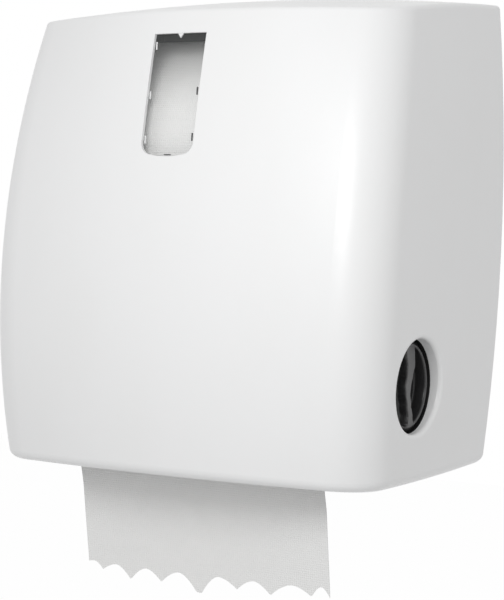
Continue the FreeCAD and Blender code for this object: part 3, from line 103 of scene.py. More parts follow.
class Value:
    """A socket that takes part in ordinary arithmetic; each operation adds one Math node."""

    def __init__(self, shader: "Shader", socket: bpy.types.NodeSocket) -> None:
        """Wraps a socket of the shader's tree."""
        self.shader = shader
        self.socket = socket

    def _math(self, operation: str, *operands: "Value | float") -> "Value":
        """Adds a Math node over the operands, in order."""
        node = self.shader.node("ShaderNodeMath", {"operation": operation}, dict(enumerate(operands)))
        return Value(self.shader, node.outputs[0])

    def __add__(self, other: "Value | float") -> "Value":
        """This value plus another."""
        return self._math("ADD", self, other)

    def __radd__(self, other: float) -> "Value":
        """A number plus this value."""
        return self._math("ADD", other, self)

    def __sub__(self, other: "Value | float") -> "Value":
        """This value less another."""
        return self._math("SUBTRACT", self, other)

    def __rsub__(self, other: float) -> "Value":
        """A number less this value."""
        return self._math("SUBTRACT", other, self)

    def __mul__(self, other: "Value | float") -> "Value":
        """This value times another."""
        return self._math("MULTIPLY", self, other)

    def __rmul__(self, other: float) -> "Value":
        """A number times this value."""
        return self._math("MULTIPLY", other, self)

    def __pow__(self, other: "Value | float") -> "Value":
        """This value to a power."""
        return self._math("POWER", self, other)

    def __rpow__(self, other: float) -> "Value":
        """A number to the power of this value."""
        return self._math("POWER", other, self)

    def sine(self) -> "Value":
        """The sine of this value, taken as radians."""
        return self._math("SINE", self)

    def root(self) -> "Value":
        """The square root."""
        return self._math("SQRT", self)

    def above(self, low: float, high: float) -> "Value":
        """A smooth step from 0 at low to 1 at high."""
        node = self.shader.node("ShaderNodeMapRange", {"interpolation_type": "SMOOTHSTEP"},
                                {"Value": self, "From Min": low, "From Max": high})
        return Value(self.shader, node.outputs["Result"])


class Pattern(Enum):
    """Where a finish reads its pattern from."""

    SOLID = "Object"
    SHEET = "UV"


class Shader:
    """Builds one node material round a Principled surface, or fills the node tree that it is given."""

    def __init__(self, name: str, pattern: Pattern = Pattern.SOLID,
                 tree: bpy.types.NodeTree | None = None) -> None:
        """Starts the material, or empties the tree.

        Args:
            name: The material's name.
            pattern: Where it reads its pattern from.
            tree: The tree to fill in place of a new material's.
        """
        if tree:
            self.tree = tree
            self.tree.nodes.clear()
            return
        self.material = bpy.data.materials.new(name)
        self.material.use_nodes = True
        self.tree = self.material.node_tree
        self.tree.nodes.clear()
        self.surface = self.node("ShaderNodeBsdfPrincipled")
        self.output = self.node("ShaderNodeOutputMaterial", None, {"Surface": self.surface.outputs[0]})
        self.place = self.node("ShaderNodeTexCoord").outputs[pattern.value]

    def node(self, kind: str, settings: dict | None = None, inputs: dict | None = None) -> bpy.types.Node:
        """Makes a node.

        Args:
            kind: The node's type.
            settings: The node's own properties.
            inputs: Numbers, colours, Values or sockets, by the name or place of the input.

        Returns:
            The node.
        """
        node = self.tree.nodes.new(kind)
        for name, setting in (settings or {}).items():
            setattr(node, name, setting)
        for name, value in (inputs or {}).items():
            self.put(node, name, value)
        return node

    def put(self, node: bpy.types.Node, name: str | int, value: object) -> None:
        """Links an input, or sets the number or colour that it holds.

        Args:
            node: The node.
            name: The input's name or place.
            value: A Value or socket to link, or a number or colour.
        """
        socket = node.inputs[name]
        if isinstance(value, Value):
            value = value.socket
        if isinstance(value, bpy.types.NodeSocket):
            self.tree.links.new(value, socket)
        elif socket.type == "RGBA" and len(value) == 3:
            socket.default_value = (*value, 1.0)
        else:
            socket.default_value = value

    def noise(self, scale: float, detail: float = 2.0,
              stretch: Colour = (1.0, 1.0, 1.0)) -> Value:
        """Soft noise.

        Args:
            scale: Spots in a metre, about.
            detail: Layers of finer noise.
            stretch: Times that scale along each axis.

        Returns:
            The noise, from 0 to 1.
        """
        mapping = self.node("ShaderNodeMapping", None, {"Vector": self.place, "Scale": stretch})
        node = self.node("ShaderNodeTexNoise", None,
                         {"Vector": mapping.outputs[0], "Scale": scale, "Detail": detail})
        return Value(self, node.outputs["Fac"])

    def axes(self) -> tuple[Value, Value, Value]:
        """The pattern's three coordinates."""
        node = self.node("ShaderNodeSeparateXYZ", None, {"Vector": self.place})
        return tuple(Value(self, output) for output in node.outputs)

    def blend(self, share: Value, first: Colour, second: Colour) -> bpy.types.NodeSocket:
        """A colour between first (share 0) and second (share 1)."""
        # A Mix node in colour mode uses its inputs 6 and 7 and its output 2.
        node = self.node("ShaderNodeMix", {"data_type": "RGBA"}, {0: share, 6: first, 7: second})
        return node.outputs[2]

    def seen_rays(self) -> Value:
        """1 for the rays of camera, gloss and glass, and 0 for the rest."""
        path = self.node("ShaderNodeLightPath")
        camera, glossy, bent = (Value(self, path.outputs[name])
                                for name in ("Is Camera Ray", "Is Glossy Ray", "Is Transmission Ray"))
        return camera + glossy + bent

    def relief(self, height: Value, depth: float) -> None:
        """Feeds a height, times a depth in metres, to the surface's normal."""
        bump = self.node("ShaderNodeBump", None, {"Height": height, "Distance": depth, "Strength": 1.0})
        self.put(self.surface, "Normal", bump.outputs[0])

    def set(self, **inputs: object) -> None:
        """Sets the surface's inputs; an underscore stands for a space."""
        for name, value in inputs.items():
            self.put(self.surface, name.replace("_", " "), value)


# ---- finishes

@dataclass(frozen=True)
class Finish:
    """A named finish, whose paint() sets the surface of a new material."""

    name: str
    colour: Colour
    pattern: ClassVar[Pattern] = Pattern.SOLID

    def build(self) -> bpy.types.Material:
        """Makes the material."""
        shader = Shader(self.name, self.pattern)
        self.paint(shader)
        return shader.material

    def paint(self, shader: Shader) -> None:
        """Sets the surface.

        Args:
            shader: The new material's shader.
        """
        raise NotImplementedError


@dataclass(frozen=True)
class Moulded(Finish):
    """Injection-moulded plastic: a fine spark-eroded grain, and faint flow marks that carry a dusty tone.
    """

    dusty: Colour
    roughness: float = 0.42
    grain: float = 1800.0
    grain_depth: float = 0.00002
    gloss: float = 0.5

    def paint(self, shader: Shader) -> None:
        """Sets the surface."""
        flow = shader.noise(14.0, 3.0, stretch=(1.0, 1.0, 0.45))
        grain = shader.noise(self.grain)
        smudge = shader.noise(46.0, 4.0)
        shader.set(Base_Color=shader.blend(flow.above(0.42, 0.74) * 0.6, self.colour, self.dusty),
                   Roughness=(smudge - 0.5) * 0.10 + self.roughness,
                   Specular_IOR_Level=self.gloss)
        shader.relief(grain + flow * 2.0, self.grain_depth)


@dataclass(frozen=True)
class Brushed(Finish):
    """Bright metal with drawn or ground lines along one direction."""

    tarnish: Colour
    lines: Colour = (1.0, 30.0, 30.0)
    roughness: float = 0.3
    depth: float = 0.000012

    def paint(self, shader: Shader) -> None:
        """Sets the surface."""
        drawn = shader.noise(120.0, 3.0, stretch=self.lines)
        cloud = shader.noise(60.0, 3.0)
        shader.set(Base_Color=shader.blend(cloud.above(0.45, 0.8), self.colour, self.tarnish),
                   Metallic=1.0,
                   Roughness=(drawn - 0.5) * 0.16 + self.roughness)
        shader.relief(drawn, self.depth)


@dataclass(frozen=True)
class Galvanised(Finish):
    """Zinc on steel: pale spangles of a few millimetres, each with its own sheen."""

    spangle: Colour
    scale: float = 260.0

    def paint(self, shader: Shader) -> None:
        """Sets the surface."""
        cells = shader.node("ShaderNodeTexVoronoi", None, {"Vector": shader.place, "Scale": self.scale})
        tone = shader.node("ShaderNodeRGBToBW", None, {0: cells.outputs["Color"]})
        share = Value(shader, tone.outputs[0])
        shader.set(Base_Color=shader.blend(share, self.colour, self.spangle),
                   Metallic=1.0,
                   Roughness=share * 0.14 + 0.3)
        shader.relief(shader.noise(900.0) + share, 0.00001)


@dataclass(frozen=True)
class Rubber(Finish):
    """Moulded rubber with a dull skin and paper dust on it."""

    dust: Colour

    def paint(self, shader: Shader) -> None:
        """Sets the surface."""
        skin = shader.noise(1400.0)
        dust = shader.noise(90.0, 5.0)
        shader.set(Base_Color=shader.blend(dust.above(0.52, 0.8) * 0.5, self.colour, self.dust),
                   Roughness=(skin - 0.5) * 0.2 + 0.72)
        shader.relief(skin, 0.00003)


@dataclass(frozen=True)
class ClearPlastic(Finish):
    """A clear pane: nearly all see-through, with a soft gloss and hairline scratches."""

    cover: float = 0.04

    def paint(self, shader: Shader) -> None:
        """Sets the surface."""
        scratch = shader.noise(700.0, stretch=(1.0, 1.0, 0.03))
        shader.set(Base_Color=self.colour, Roughness=scratch.above(0.68, 0.8) * 0.3 + 0.06,
                   Alpha=scratch.above(0.7, 0.82) * 0.05 + self.cover)


@dataclass(frozen=True)
class Tissue(Finish):
    """Embossed towel paper: rows of small dots at 45 degrees, long fibres and a soft, matt surface."""

    shade: Colour
    pattern: ClassVar[Pattern] = Pattern.SHEET
    pitch: float = 0.0024
    emboss: float = 0.00016

    def paint(self, shader: Shader) -> None:
        """Sets the surface."""
        across, along, _ = shader.axes()
        diagonal = TURN / self.pitch / math.sqrt(2.0)
        first, second = ((across + along) * diagonal).sine(), ((across - along) * diagonal).sine()
        dots = (first * second).above(0.05, 0.75)
        fibre = shader.noise(2600.0, 3.0, stretch=(0.35, 1.0, 1.0))
        crumple = shader.noise(70.0, 3.0)
        tone = dots * 0.45 + fibre.above(0.35, 0.75) * 0.35 + crumple.above(0.4, 0.8) * 0.2
        shader.set(Base_Color=shader.blend(tone, self.colour, self.shade), Roughness=0.92,
                   Specular_IOR_Level=0.15, Sheen_Weight=0.15, Sheen_Roughness=0.6)
        shader.relief(dots * -1.0 + fibre * 0.25 + crumple * 1.2, self.emboss)


@dataclass(frozen=True)
class RollEnd(Finish):
    """The end of a wound roll: the edges of the layers as fine uneven rings about the roll's axis."""

    shade: Colour
    layer: float = 0.0009

    def paint(self, shader: Shader) -> None:
        """Sets the surface."""
        axis = Box.of("roll_core").centre
        _, y, z = shader.axes()
        radius = ((y - axis.y) ** 2.0 + (z - axis.z) ** 2.0).root()
        wander = shader.noise(35.0, 3.0)
        rings = ((radius + wander * self.layer * 3.0) * (TURN / self.layer)).sine()
        patches = shader.noise(260.0, 4.0)
        tone = rings.above(-0.4, 0.9) * 0.55 + patches.above(0.4, 0.75) * 0.45
        shader.set(Base_Color=shader.blend(tone, self.colour, self.shade), Roughness=0.93,
                   Specular_IOR_Level=0.15)
        shader.relief(rings + patches * 1.5, 0.0002)


@dataclass(frozen=True)
class Board(Finish):
    """Brown core board: grey flecks, fibres and the seam of its spiral winding."""

    fleck: Colour
    seam_pitch: float = 0.058

    def paint(self, shader: Shader) -> None:
        """Sets the surface."""
        x, y, _ = shader.axes()
        wrap = (x * (TURN / self.seam_pitch) + y * 60.0).sine()
        flecks = shader.noise(900.0, 4.0, stretch=(1.0, 0.4, 0.4))
        shader.set(Base_Color=shader.blend(flecks.above(0.5, 0.8), self.colour, self.fleck),
                   Roughness=0.85)
        shader.relief(flecks + wrap.above(0.985, 1.0) * -4.0, 0.00005)


WHITE_COVER = Moulded("moulded_white", (0.875, 0.878, 0.88), (0.86, 0.862, 0.86), roughness=0.34)
GREY_CHASSIS = Moulded("moulded_grey", (0.20, 0.205, 0.21), (0.25, 0.25, 0.245), roughness=0.5)
DARK_GREY = Moulded("moulded_dark", (0.075, 0.078, 0.082), (0.11, 0.11, 0.11), roughness=0.48)
DRUM_GREY = Moulded("moulded_drum", (0.28, 0.30, 0.32), (0.36, 0.37, 0.37), roughness=0.45)
ACETAL = Moulded("moulded_acetal", (0.66, 0.66, 0.62), (0.56, 0.56, 0.53), roughness=0.33)
KNOB_BLACK = Moulded("moulded_black", (0.07, 0.07, 0.072), (0.10, 0.10, 0.10), roughness=0.36,
                     grain=2600.0, grain_depth=0.00001)
# Darker copies of the knob's black plastic: painted shade in the hollows beside the grip bar and in the
# band round the face.
KNOB_HOLLOW_PAINTED_SHADE = Moulded("black_hollow_painted_shade", (0.014, 0.014, 0.015), (0.03, 0.03, 0.03), roughness=0.3)
KNOB_BAND_PAINTED_SHADE = Moulded("black_band_painted_shade", (0.006, 0.006, 0.006), (0.01, 0.01, 0.01), roughness=0.5,
                    gloss=0.15)
PIN_STEEL = Brushed("turned_steel", (0.56, 0.57, 0.58), (0.40, 0.40, 0.41))
BLADE_STEEL = Brushed("ground_blade", (0.62, 0.63, 0.64), (0.46, 0.46, 0.47), lines=(30.0, 1.0, 1.0),
                      roughness=0.22)
SPRING_STEEL = Brushed("drawn_wire", (0.34, 0.34, 0.35), (0.22, 0.21, 0.2), lines=(8.0, 8.0, 8.0),
                       roughness=0.34)
CHROME = Brushed("bright_chrome", (0.78, 0.79, 0.8), (0.7, 0.71, 0.72), lines=(4.0, 4.0, 4.0),
                 roughness=0.1, depth=0.000003)
BRASS = Brushed("turned_brass", (0.62, 0.46, 0.2), (0.42, 0.3, 0.14), lines=(4.0, 4.0, 30.0))
ZINC = Galvanised("zinc_plate", (0.52, 0.53, 0.54), (0.68, 0.69, 0.69))
GRIP_RUBBER = Rubber("grip_rubber", (0.03, 0.03, 0.031), (0.3, 0.3, 0.29))
PANE = ClearPlastic("clear_pane", (0.82, 0.84, 0.84))
TOWEL = Tissue("towel_tissue", (0.95, 0.95, 0.94), (0.87, 0.87, 0.865))
ROLL_END = RollEnd("roll_end", (0.86, 0.86, 0.85), (0.70, 0.70, 0.69))
CORE_BOARD = Board("core_board", (0.36, 0.24, 0.14), (0.22, 0.15, 0.09))

NODES_BY_FINISH = {
    WHITE_COVER: "cover_shell",
    PANE: "window_insert",
    PIN_STEEL: (
        "hinge_pin_right hinge_pin_left arm_pivot_pin drum_shaft knife_pivots pawl_pin spring_post "
        "knob_pin pinch_pivots pinch_shaft"
    ),
    CHROME: "lock_barrel",
    ZINC: "lock_cam latch_catch cheek_screws drum_screws knife_arm pawl case_screws pinch_frame",
    BRASS: "lock_nut",
    GREY_CHASSIS: "back_plate left_cheek right_cheek drive_case",
    CORE_BOARD: "roll_core",
    ROLL_END: "towel_roll",
    ACETAL: (
        "spigot_left spigot_right drum_bush_left drum_bush_right cam_follower cam_plate "
        "ratchet_wheel"
    ),
    DARK_GREY: "roll_arm_left roll_arm_right knife_carrier crank_disc towel_chute stripper_comb",
    DRUM_GREY: "drum_upper_half drum_lower_half",
    GRIP_RUBBER: "drum_grip_bands pinch_sleeves",
    BLADE_STEEL: "knife_blade",
    SPRING_STEEL: "knife_spring pawl_spring assist_spring pinch_springs",
    KNOB_BLACK: "feed_knob",
    TOWEL: "towel_web towel_tail",
}
NODE_FINISHES = {node: finish for finish, nodes in NODES_BY_FINISH.items() for node in nodes.split()}


class Palette:
    """Builds each finish once and hands out its material."""

    def __init__(self) -> None:
        """Starts with nothing built."""
        self._made: dict[str, bpy.types.Material] = {}

    def __getitem__(self, finish: Finish) -> bpy.types.Material:
        """The finish's material, built when it is first asked for."""
        if finish.name not in self._made:
            self._made[finish.name] = finish.build()
        return self._made[finish.name]

    def dress(self, piece: Piece, *finishes: Finish) -> None:
        """Gives a piece these finishes, one material slot each."""
        piece.data.materials.clear()
        for finish in finishes:
            piece.data.materials.append(self[finish])


# ---- modelling helpers

def deselect() -> None:
    """Leaves nothing selected."""
    bpy.ops.object.select_all(action="DESELECT")


def take(piece: Piece) -> None:
    """Makes one piece the only selected one and the active one."""
    deselect()
    piece.select_set(True)
    bpy.context.view_layer.objects.active = piece


def started(name: str) -> Piece:
    """Names the primitive that was just added, with its place in its mesh.

    Args:
        name: The piece's name.

    Returns:
        The piece.
    """
    piece = bpy.context.active_object
    piece.name = name
    piece.data.name = name
    take(piece)
    bpy.ops.object.transform_apply(location=True, rotation=True, scale=True)
    return piece


def block(name: str, low: Point, high: Point) -> Piece:
    """A cube primitive between two corners.

    Args:
        name: The piece's name.
        low: The corner with the least coordinates.
        high: The corner across from it.

    Returns:
        The block.
    """
    deselect()
    centre = [(a + b) / 2 for a, b in zip(low, high)]
    extent = [b - a for a, b in zip(low, high)]
    bpy.ops.mesh.primitive_cube_add(size=1.0, location=centre, scale=extent)
    return started(name)


def disc(name: str, centre: Point, radius: float, depth: float, sides: int) -> Piece:
    """A cylinder primitive that stands along Z.

    Args:
        name: The piece's name.
        centre: Its middle.
        radius: Its radius.
        depth: Its height.
        sides: How many sides it has.

    Returns:
        The cylinder.
    """
    deselect()
    bpy.ops.mesh.primitive_cylinder_add(vertices=sides, radius=radius, depth=depth, location=centre)
    return started(name)


@contextmanager
def editing(piece: Piece, mode: str = "VERT") -> Iterator[None]:
    """Edit mode on one piece, with what was selected in code.

    Args:
        piece: The piece.
        mode: What is selected by: VERT, EDGE or FACE.
    """
    take(piece)
    bpy.ops.object.mode_set(mode="EDIT")
    bpy.ops.mesh.select_mode(type=mode)
    yield
    bpy.ops.object.mode_set(mode="OBJECT")


def finish_modifier(piece: Piece, kind: str, **settings: object) -> None:
    """Adds a modifier and applies it.

    Args:
        piece: The piece.
        kind: The modifier's type.
        settings: Its settings.
    """
    take(piece)
    modifier = piece.modifiers.new(kind.title(), kind)
    for name, value in settings.items():
        setattr(modifier, name, value)
    bpy.ops.object.modifier_apply(modifier=modifier.name)


def bevel(piece: Piece, width: float, segments: int) -> None:
    """Rounds the piece's sharp edges."""
    finish_modifier(piece, "BEVEL", width=width, segments=segments, limit_method="ANGLE",
                    angle_limit=math.radians(40.0), use_clamp_overlap=True)


def smooth(piece: Piece, angle: float = 35.0) -> None:
    """Smooth shading except across edges sharper than the angle, in degrees."""
    take(piece)
    bpy.ops.object.shade_smooth_by_angle(angle=math.radians(angle))


def join(name: str, pieces: Sequence[Piece]) -> Piece:
    """Joins pieces into one, which keeps the first one's place in the list of objects.

    Args:
        name: The new piece's name.
        pieces: The pieces.

    Returns:
        The joined piece.
    """
    deselect()
    for piece in pieces:
        piece.select_set(True)
    bpy.context.view_layer.objects.active = pieces[0]
    bpy.ops.object.join()
    pieces[0].name = name
    pieces[0].data.name = name
    return pieces[0]


def copied(piece: Piece, name: str, move: Matrix) -> Piece:
    """Copies a piece, with a mesh of its own.

    Args:
        piece: The piece.
        name: The copy's name.
        move: Where the copy's mesh goes from the first one's.

    Returns:
        The copy.
    """
    twin = piece.copy()
    twin.data = piece.data.copy()
    twin.name = name
    bpy.context.scene.collection.objects.link(twin)
    twin.data.transform(move)
    return twin


def stood(place: Point, axis: Vector) -> Matrix:
    """The move that takes the origin to a place and Z to an axis."""
    return Matrix.Translation(place) @ UP.rotation_difference(axis).to_matrix().to_4x4()


def close_up(piece: Piece, distance: float = 0.002 * MM) -> None:
    """Merges doubles and turns the faces outwards.

    Args:
        piece: The piece.
        distance: How near to each other doubles lie.
    """
    with editing(piece):
        bpy.ops.mesh.select_all(action="SELECT")
        bpy.ops.mesh.remove_doubles(threshold=distance)
        bpy.ops.mesh.normals_make_consistent(inside=False)


def strand(name: str, places: Sequence[Point], closed: bool) -> Piece:
    """A line of edges through the places, made from a circle primitive.

    Args:
        name: The piece's name.
        places: The places, in order.
        closed: Whether the last place joins the first.

    Returns:
        The piece.
    """
    deselect()
    bpy.ops.mesh.primitive_circle_add(vertices=len(places), radius=1.0, fill_type="NOTHING")
    piece = started(name)
    for vertex, place in zip(piece.data.vertices, places):
        vertex.co = place
    if not closed:
        last = len(places) - 1
        for edge in piece.data.edges:
            edge.select = set(edge.vertices) == {0, last}
        for vertex in piece.data.vertices:
            vertex.select = False
        with editing(piece, "EDGE"):
            bpy.ops.mesh.delete(type="EDGE_FACE")
    return piece


def spun(name: str, section: Sequence[tuple[float, float]], centre: Vector, steps: int,
         closed: bool = True) -> Piece:
    """A body turned about a line along X.

    Args:
        name: The piece's name.
        section: Places as (x, distance from the line), x counted from the centre.
        centre: A place on the line.
        steps: Steps in the full turn.
        closed: Whether the section is a closed outline.

    Returns:
        The piece.
    """
    piece = strand(name, [(centre.x + x, centre.y, centre.z + out) for x, out in section], closed)
    with editing(piece):
        bpy.ops.mesh.select_all(action="SELECT")
        bpy.ops.mesh.spin(steps=steps, angle=TURN, center=centre, axis=RIGHTWARD)
    close_up(piece)
    return piece


@dataclass
class SubAssembly:
    """What every sub-assembly has: the palette that it is dressed from."""

    palette: Palette

    def fit(self, piece: Piece, body: str, slot: str, *replaced: str) -> None:
        """Puts a finished piece on its body and hides the nodes that it stands for.

        Args:
            piece: The finished piece.
            body: The body that it rides on.
            slot: Not used.
            replaced: The nodes that the piece stands for.
        """
        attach(piece, body)
        if replaced:
            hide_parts(*replaced)
        log.info("%s: %d faces on %s", piece.name, len(piece.data.polygons), body)


# ---- feed knob

@dataclass
class FeedKnob(SubAssembly):
    """The black hand wheel: a flat rim, a thin raised ring and a wavy grip bar between two hollows.

    Each of bar_edges gives the bar's front and rear edges, in millimetres from the wheel's axis, at a
    height that is a share of the ring's radius.
    """

    ring_out: float = 29.4 * MM
    ring_half: float = 0.5 * MM
    ring_height: float = 0.6 * MM
    hollow_depth: float = 9.0 * MM
    hollow_slope: float = 0.28
    bar_edges: tuple[tuple[float, float, float], ...] = (
        (-1.0, 3.5, 12.5), (-0.72, 3.5, 10.0), (-0.45, 1.0, 6.5), (-0.2, -2.0, 4.0), (0.0, -3.5, 4.5),
        (0.25, -1.5, 6.5), (0.5, -2.0, 9.0), (0.75, -5.0, 8.0), (1.0, -10.0, 6.0),
    )
    band_fall: float = 2.5 * MM
    bar_wall: float = 2.2 * MM
    ring_wall: float = 1.76 * MM
    edge_round: float = 0.7 * MM
    rim_round: float = 1.2 * MM
    wheel_depth: float = 18.0 * MM
    hub_radius: float = 11.0 * MM
    bore_radius: float = 6.1 * MM
    bore_rise: float = 7.0 * MM
    rings: int = 120
    steps: int = 240

    def build(self) -> None:
        """Models the wheel and dresses it."""
        wheel = Box.of("feed_knob")
        centre = wheel.centre
        axis = Vector((0.0, centre.y, centre.z))
        piece = spun("feed_knob_wheel", self._section(wheel), axis, self.steps, closed=False)
        self._sculpt(piece, wheel)
        close_up(piece)
        smooth(piece, 60.0)
        self.palette.dress(piece, KNOB_BLACK, KNOB_BAND_PAINTED_SHADE, KNOB_HOLLOW_PAINTED_SHADE)
        # Faces in the outer band and in the hollows take the darker copies: painted shade on one-piece
        # black plastic.
        for face in piece.data.polygons:
            out = math.hypot(face.center.y - centre.y, face.center.z - centre.z)
            if out > self.ring_out + self.ring_half:
                face.material_index = 1
            elif face.center.x < wheel.high.x - self.ring_height - self.edge_round:
                face.material_index = 2
        self.fit(piece, "drum", "black_plastic", "feed_knob")

    def _section(self, wheel: Box) -> list[tuple[float, float]]:
        """The outline from the middle of the face out to the rim, back along it, and in to the bore.

        Args:
            wheel: The wheel's box.

        Returns:
            Places as (x, distance from the axis).
        """
        back, face = wheel.low.x, wheel.high.x
        radius, edge = wheel.radius, self.rim_round
        bulge = edge * 0.3
        wheel_back = face - self.wheel_depth
        bore_end = wheel_back + self.bore_rise
        section = [(face, (radius - edge) * ring / self.rings) for ring in range(self.rings + 1)]
        section += [(face - bulge, radius - bulge), (face - edge, radius), (wheel_back + edge, radius)]
        section += [(wheel_back, radius - edge), (wheel_back, self.hub_radius), (back, self.hub_radius)]
        section += [(back, self.bore_radius), (bore_end, self.bore_radius), (bore_end, 0.0)]
        return section

    def _sculpt(self, piece: Piece, wheel: Box) -> None:
        """Presses the hollows into the face, raises the thin ring round them and lets the band fall away.

        Args:
            piece: The plain wheel.
            wheel: Its box.
        """
        face, centre, radius = wheel.high.x, wheel.centre, wheel.radius
        hollow_edge = self.ring_out - self.ring_half
        behind_face = face - 0.05 * MM
        for vertex in piece.data.vertices:
            if vertex.co.x < behind_face:
                continue
            y, z = vertex.co.y - centre.y, vertex.co.z - centre.z
            out = math.hypot(y, z)
            front, rear = self._bar(z / self.ring_out)
            beside = max(front - y, y - rear)
            scoop = ramp(beside / self.bar_wall) * ramp((hollow_edge - out) / self.ring_wall)
            slope = 1.0 - self.hollow_slope + self.hollow_slope * ramp(beside / (5 * self.bar_wall))
            ring = ramp(1.0 - abs(out - self.ring_out) / self.ring_half)
            band = ramp((out - self.ring_out) / (radius - self.ring_out)) * self.band_fall
            sunk = self.ring_height * (1.0 - ring) + band
            vertex.co.x = face - sunk - scoop * slope * self.hollow_depth

    def _bar(self, share: float) -> tuple[float, float]:
        """The grip bar's edges at one height.

        Args:
            share: The height over the axis, as a share of the ring's radius.

        Returns:
            Y of the front and the rear edge, from the axis.
        """
        for (low, *first), (high, *second) in zip(self.bar_edges, self.bar_edges[1:]):
            if share <= high:
                break
        blend = ramp((share - low) / (high - low))
        return tuple((a + (b - a) * blend) * MM for a, b in zip(first, second))


# ---- window fittings

class Clip(Enum):
    """The two tones of the clips round the pane: the cover's white, and a dark grey that paints the shade
    in the pane's notches.
    """

    PALE = WHITE_COVER
    DARK = DARK_GREY


@dataclass
class WindowFittings(SubAssembly):
    """The small clips that hold the pane in the cover and the tab at the top of its opening."""

    clip_length: float = 5.6 * MM
    clip_width: float = 0.8 * MM
    clip_height: float = 0.9 * MM
    clip_sink: float = 0.3 * MM
    clip_round: float = 0.2 * MM
    pane_margin: float = 5.0 * MM
    left_inset: float = 1.6 * MM
    right_inset: float = 2.8 * MM
    foot_inset: float = 1.6 * MM
    head_inset: float = 8.4 * MM
    pale_levels: tuple[float, ...] = (0.50, 0.14)
    painted_shade_levels: tuple[float, ...] = (0.53, 0.16)
    tab_reach: float = 2.6 * MM
    tab_depth: float = 1.4 * MM
    tab_proud: float = 1.0 * MM
    tab_round: float = 0.3 * MM

    def build(self) -> None:
        """Models the clips and the tab at the opening's edge."""
        low, high = Box.of("window_insert")
        half = (high.x - low.x) / 2 - self.pane_margin
        bottom, top = inset(low.z, high.z, self.pane_margin)
        rise = top - bottom
        left, right = -half + self.left_inset, half - self.right_inset
        upright, lying = (self.clip_width, self.clip_length), (self.clip_length, self.clip_width)
        pale = [top - self.head_inset, *(bottom + level * rise for level in self.pale_levels)]
        # The clips at the right edge and at the foot are dark grey as painted shade in the notches there.
        dark = [bottom + level * rise for level in self.painted_shade_levels]
        self._clips("pane_clips_pale", Clip.PALE, "cover_white", [(left, z, *upright) for z in pale])
        self._clips("pane_clips_painted_shade", Clip.DARK, "dark_plastic",
                    [(right, z, *upright) for z in dark] + [(0.0, bottom + self.foot_inset, *lying)])
        self._top_tab(top)

    @staticmethod
    def _front(x: float, z: float) -> float:
        """Y of the pane's front at a place on it."""
        _, place, _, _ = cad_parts["window_insert"].ray_cast((x, -1.0, z), (0.0, 1.0, 0.0))
        return place.y

    def _clips(self, name: str, tone: Clip, slot: str,
               places: Sequence[tuple[float, float, float, float]]) -> None:
        """Clips that stand a little out of the pane's front, joined as one piece.

        Args:
            name: The piece's name.
            tone: The clips' tone.
            slot: Not used.
            places: Each clip's x, z, width and height.
        """
        clips = []
        for x, z, width, height in places:
            front = self._front(x, z)
            clips.append(block("clip", (x - width / 2, front - self.clip_height, z - height / 2),
                               (x + width / 2, front + self.clip_sink, z + height / 2)))
        piece = join(name, clips)
        bevel(piece, self.clip_round, 2)
        smooth(piece)
        self.palette.dress(piece, tone.value)
        self.fit(piece, "cover", slot)

    def _top_tab(self, top: float) -> None:
        """The V-shaped tab that hangs from the middle of the opening's upper edge.

        Args:
            top: Z of that edge.
        """
        z = top - self.tab_reach * 0.35
        y = self._front(0.0, z) - self.tab_proud
        deselect()
        bpy.ops.mesh.primitive_cylinder_add(
            vertices=3, radius=self.tab_reach, depth=self.tab_depth, location=(0.0, y, z),
            rotation=(-math.pi / 2, 0.0, 0.0), scale=(1.2, 0.95, 1.0))
        piece = started("pane_top_tab")
        close_up(piece)
        bevel(piece, self.tab_round, 2)
        smooth(piece)
        self.palette.dress(piece, WHITE_COVER)
        self.fit(piece, "cover", "cover_white")


# ---- towel

@dataclass
class TowelPath:
    """The towel's path in the side view: roll, drum, and straight down through the mouth.

    The places are (y, z) pairs, and the angles run from straight up over the drum to its front.
    """

    start: Vector
    landing: Vector
    drum: Vector
    radius: float
    first_angle: float
    last_angle: float = math.radians(104.0)
    mouth_level: float = -0.180

    @classmethod
    def from_frame(cls, gap: float) -> "TowelPath":
        """Reads the path from the nodes that it passes.

        Args:
            gap: From those nodes to the middle of the towel.

        Returns:
            The path.
        """
        drum, roll = Box.of("drum_shaft").centre, Box.of("roll_core").centre
        radius, roll_radius = Box.of("drum_grip_bands").radius + gap, Box.of("towel_roll").radius + gap
        span = Vector((roll.y - drum.y, roll.z - drum.z))
        first = math.atan2(-span.x, span.y) + math.acos((radius + roll_radius) / span.length)
        start = Vector((roll.y + roll_radius * math.sin(first), roll.z - roll_radius * math.cos(first)))
        landing = Vector((drum.y - radius * math.sin(first), drum.z + radius * math.cos(first)))
        return cls(start, landing, Vector((drum.y, drum.z)), radius, first)

    @property
    def fall(self) -> float:
        """Length of the straight run from the roll to the drum."""
        return (self.landing - self.start).length

    @property
    def wrap(self) -> float:
        """Length that lies on the drum."""
        return self.radius * (self.last_angle - self.first_angle)

    @property
    def to_mouth(self) -> float:
        """Length down to the level of the cover's lower front edge."""
        drop = self._on_drum(self.last_angle).y - self.mouth_level
        return self.fall + self.wrap + drop / math.sin(self.last_angle)

    def _on_drum(self, angle: float) -> Vector:
        """The place on the drum at an angle."""
        return self.drum + self.radius * Vector((-math.sin(angle), math.cos(angle)))

    def at(self, run: float) -> tuple[float, float, float]:
        """The place at a length along the towel.

        Args:
            run: Length from where the towel leaves the roll.

        Returns:
            Y, Z and how far the sheet's face leans below the horizontal.
        """
        angle = self.first_angle
        if run < self.fall:
            place = self.start.lerp(self.landing, run / self.fall)
        elif run < self.fall + self.wrap:
            angle += (run - self.fall) / self.radius
            place = self._on_drum(angle)
        else:
            angle = self.last_angle
            down = Vector((-math.cos(angle), -math.sin(angle)))
            place = self._on_drum(angle) + down * (run - self.fall - self.wrap)
        return place.x, place.y, angle - math.pi / 2


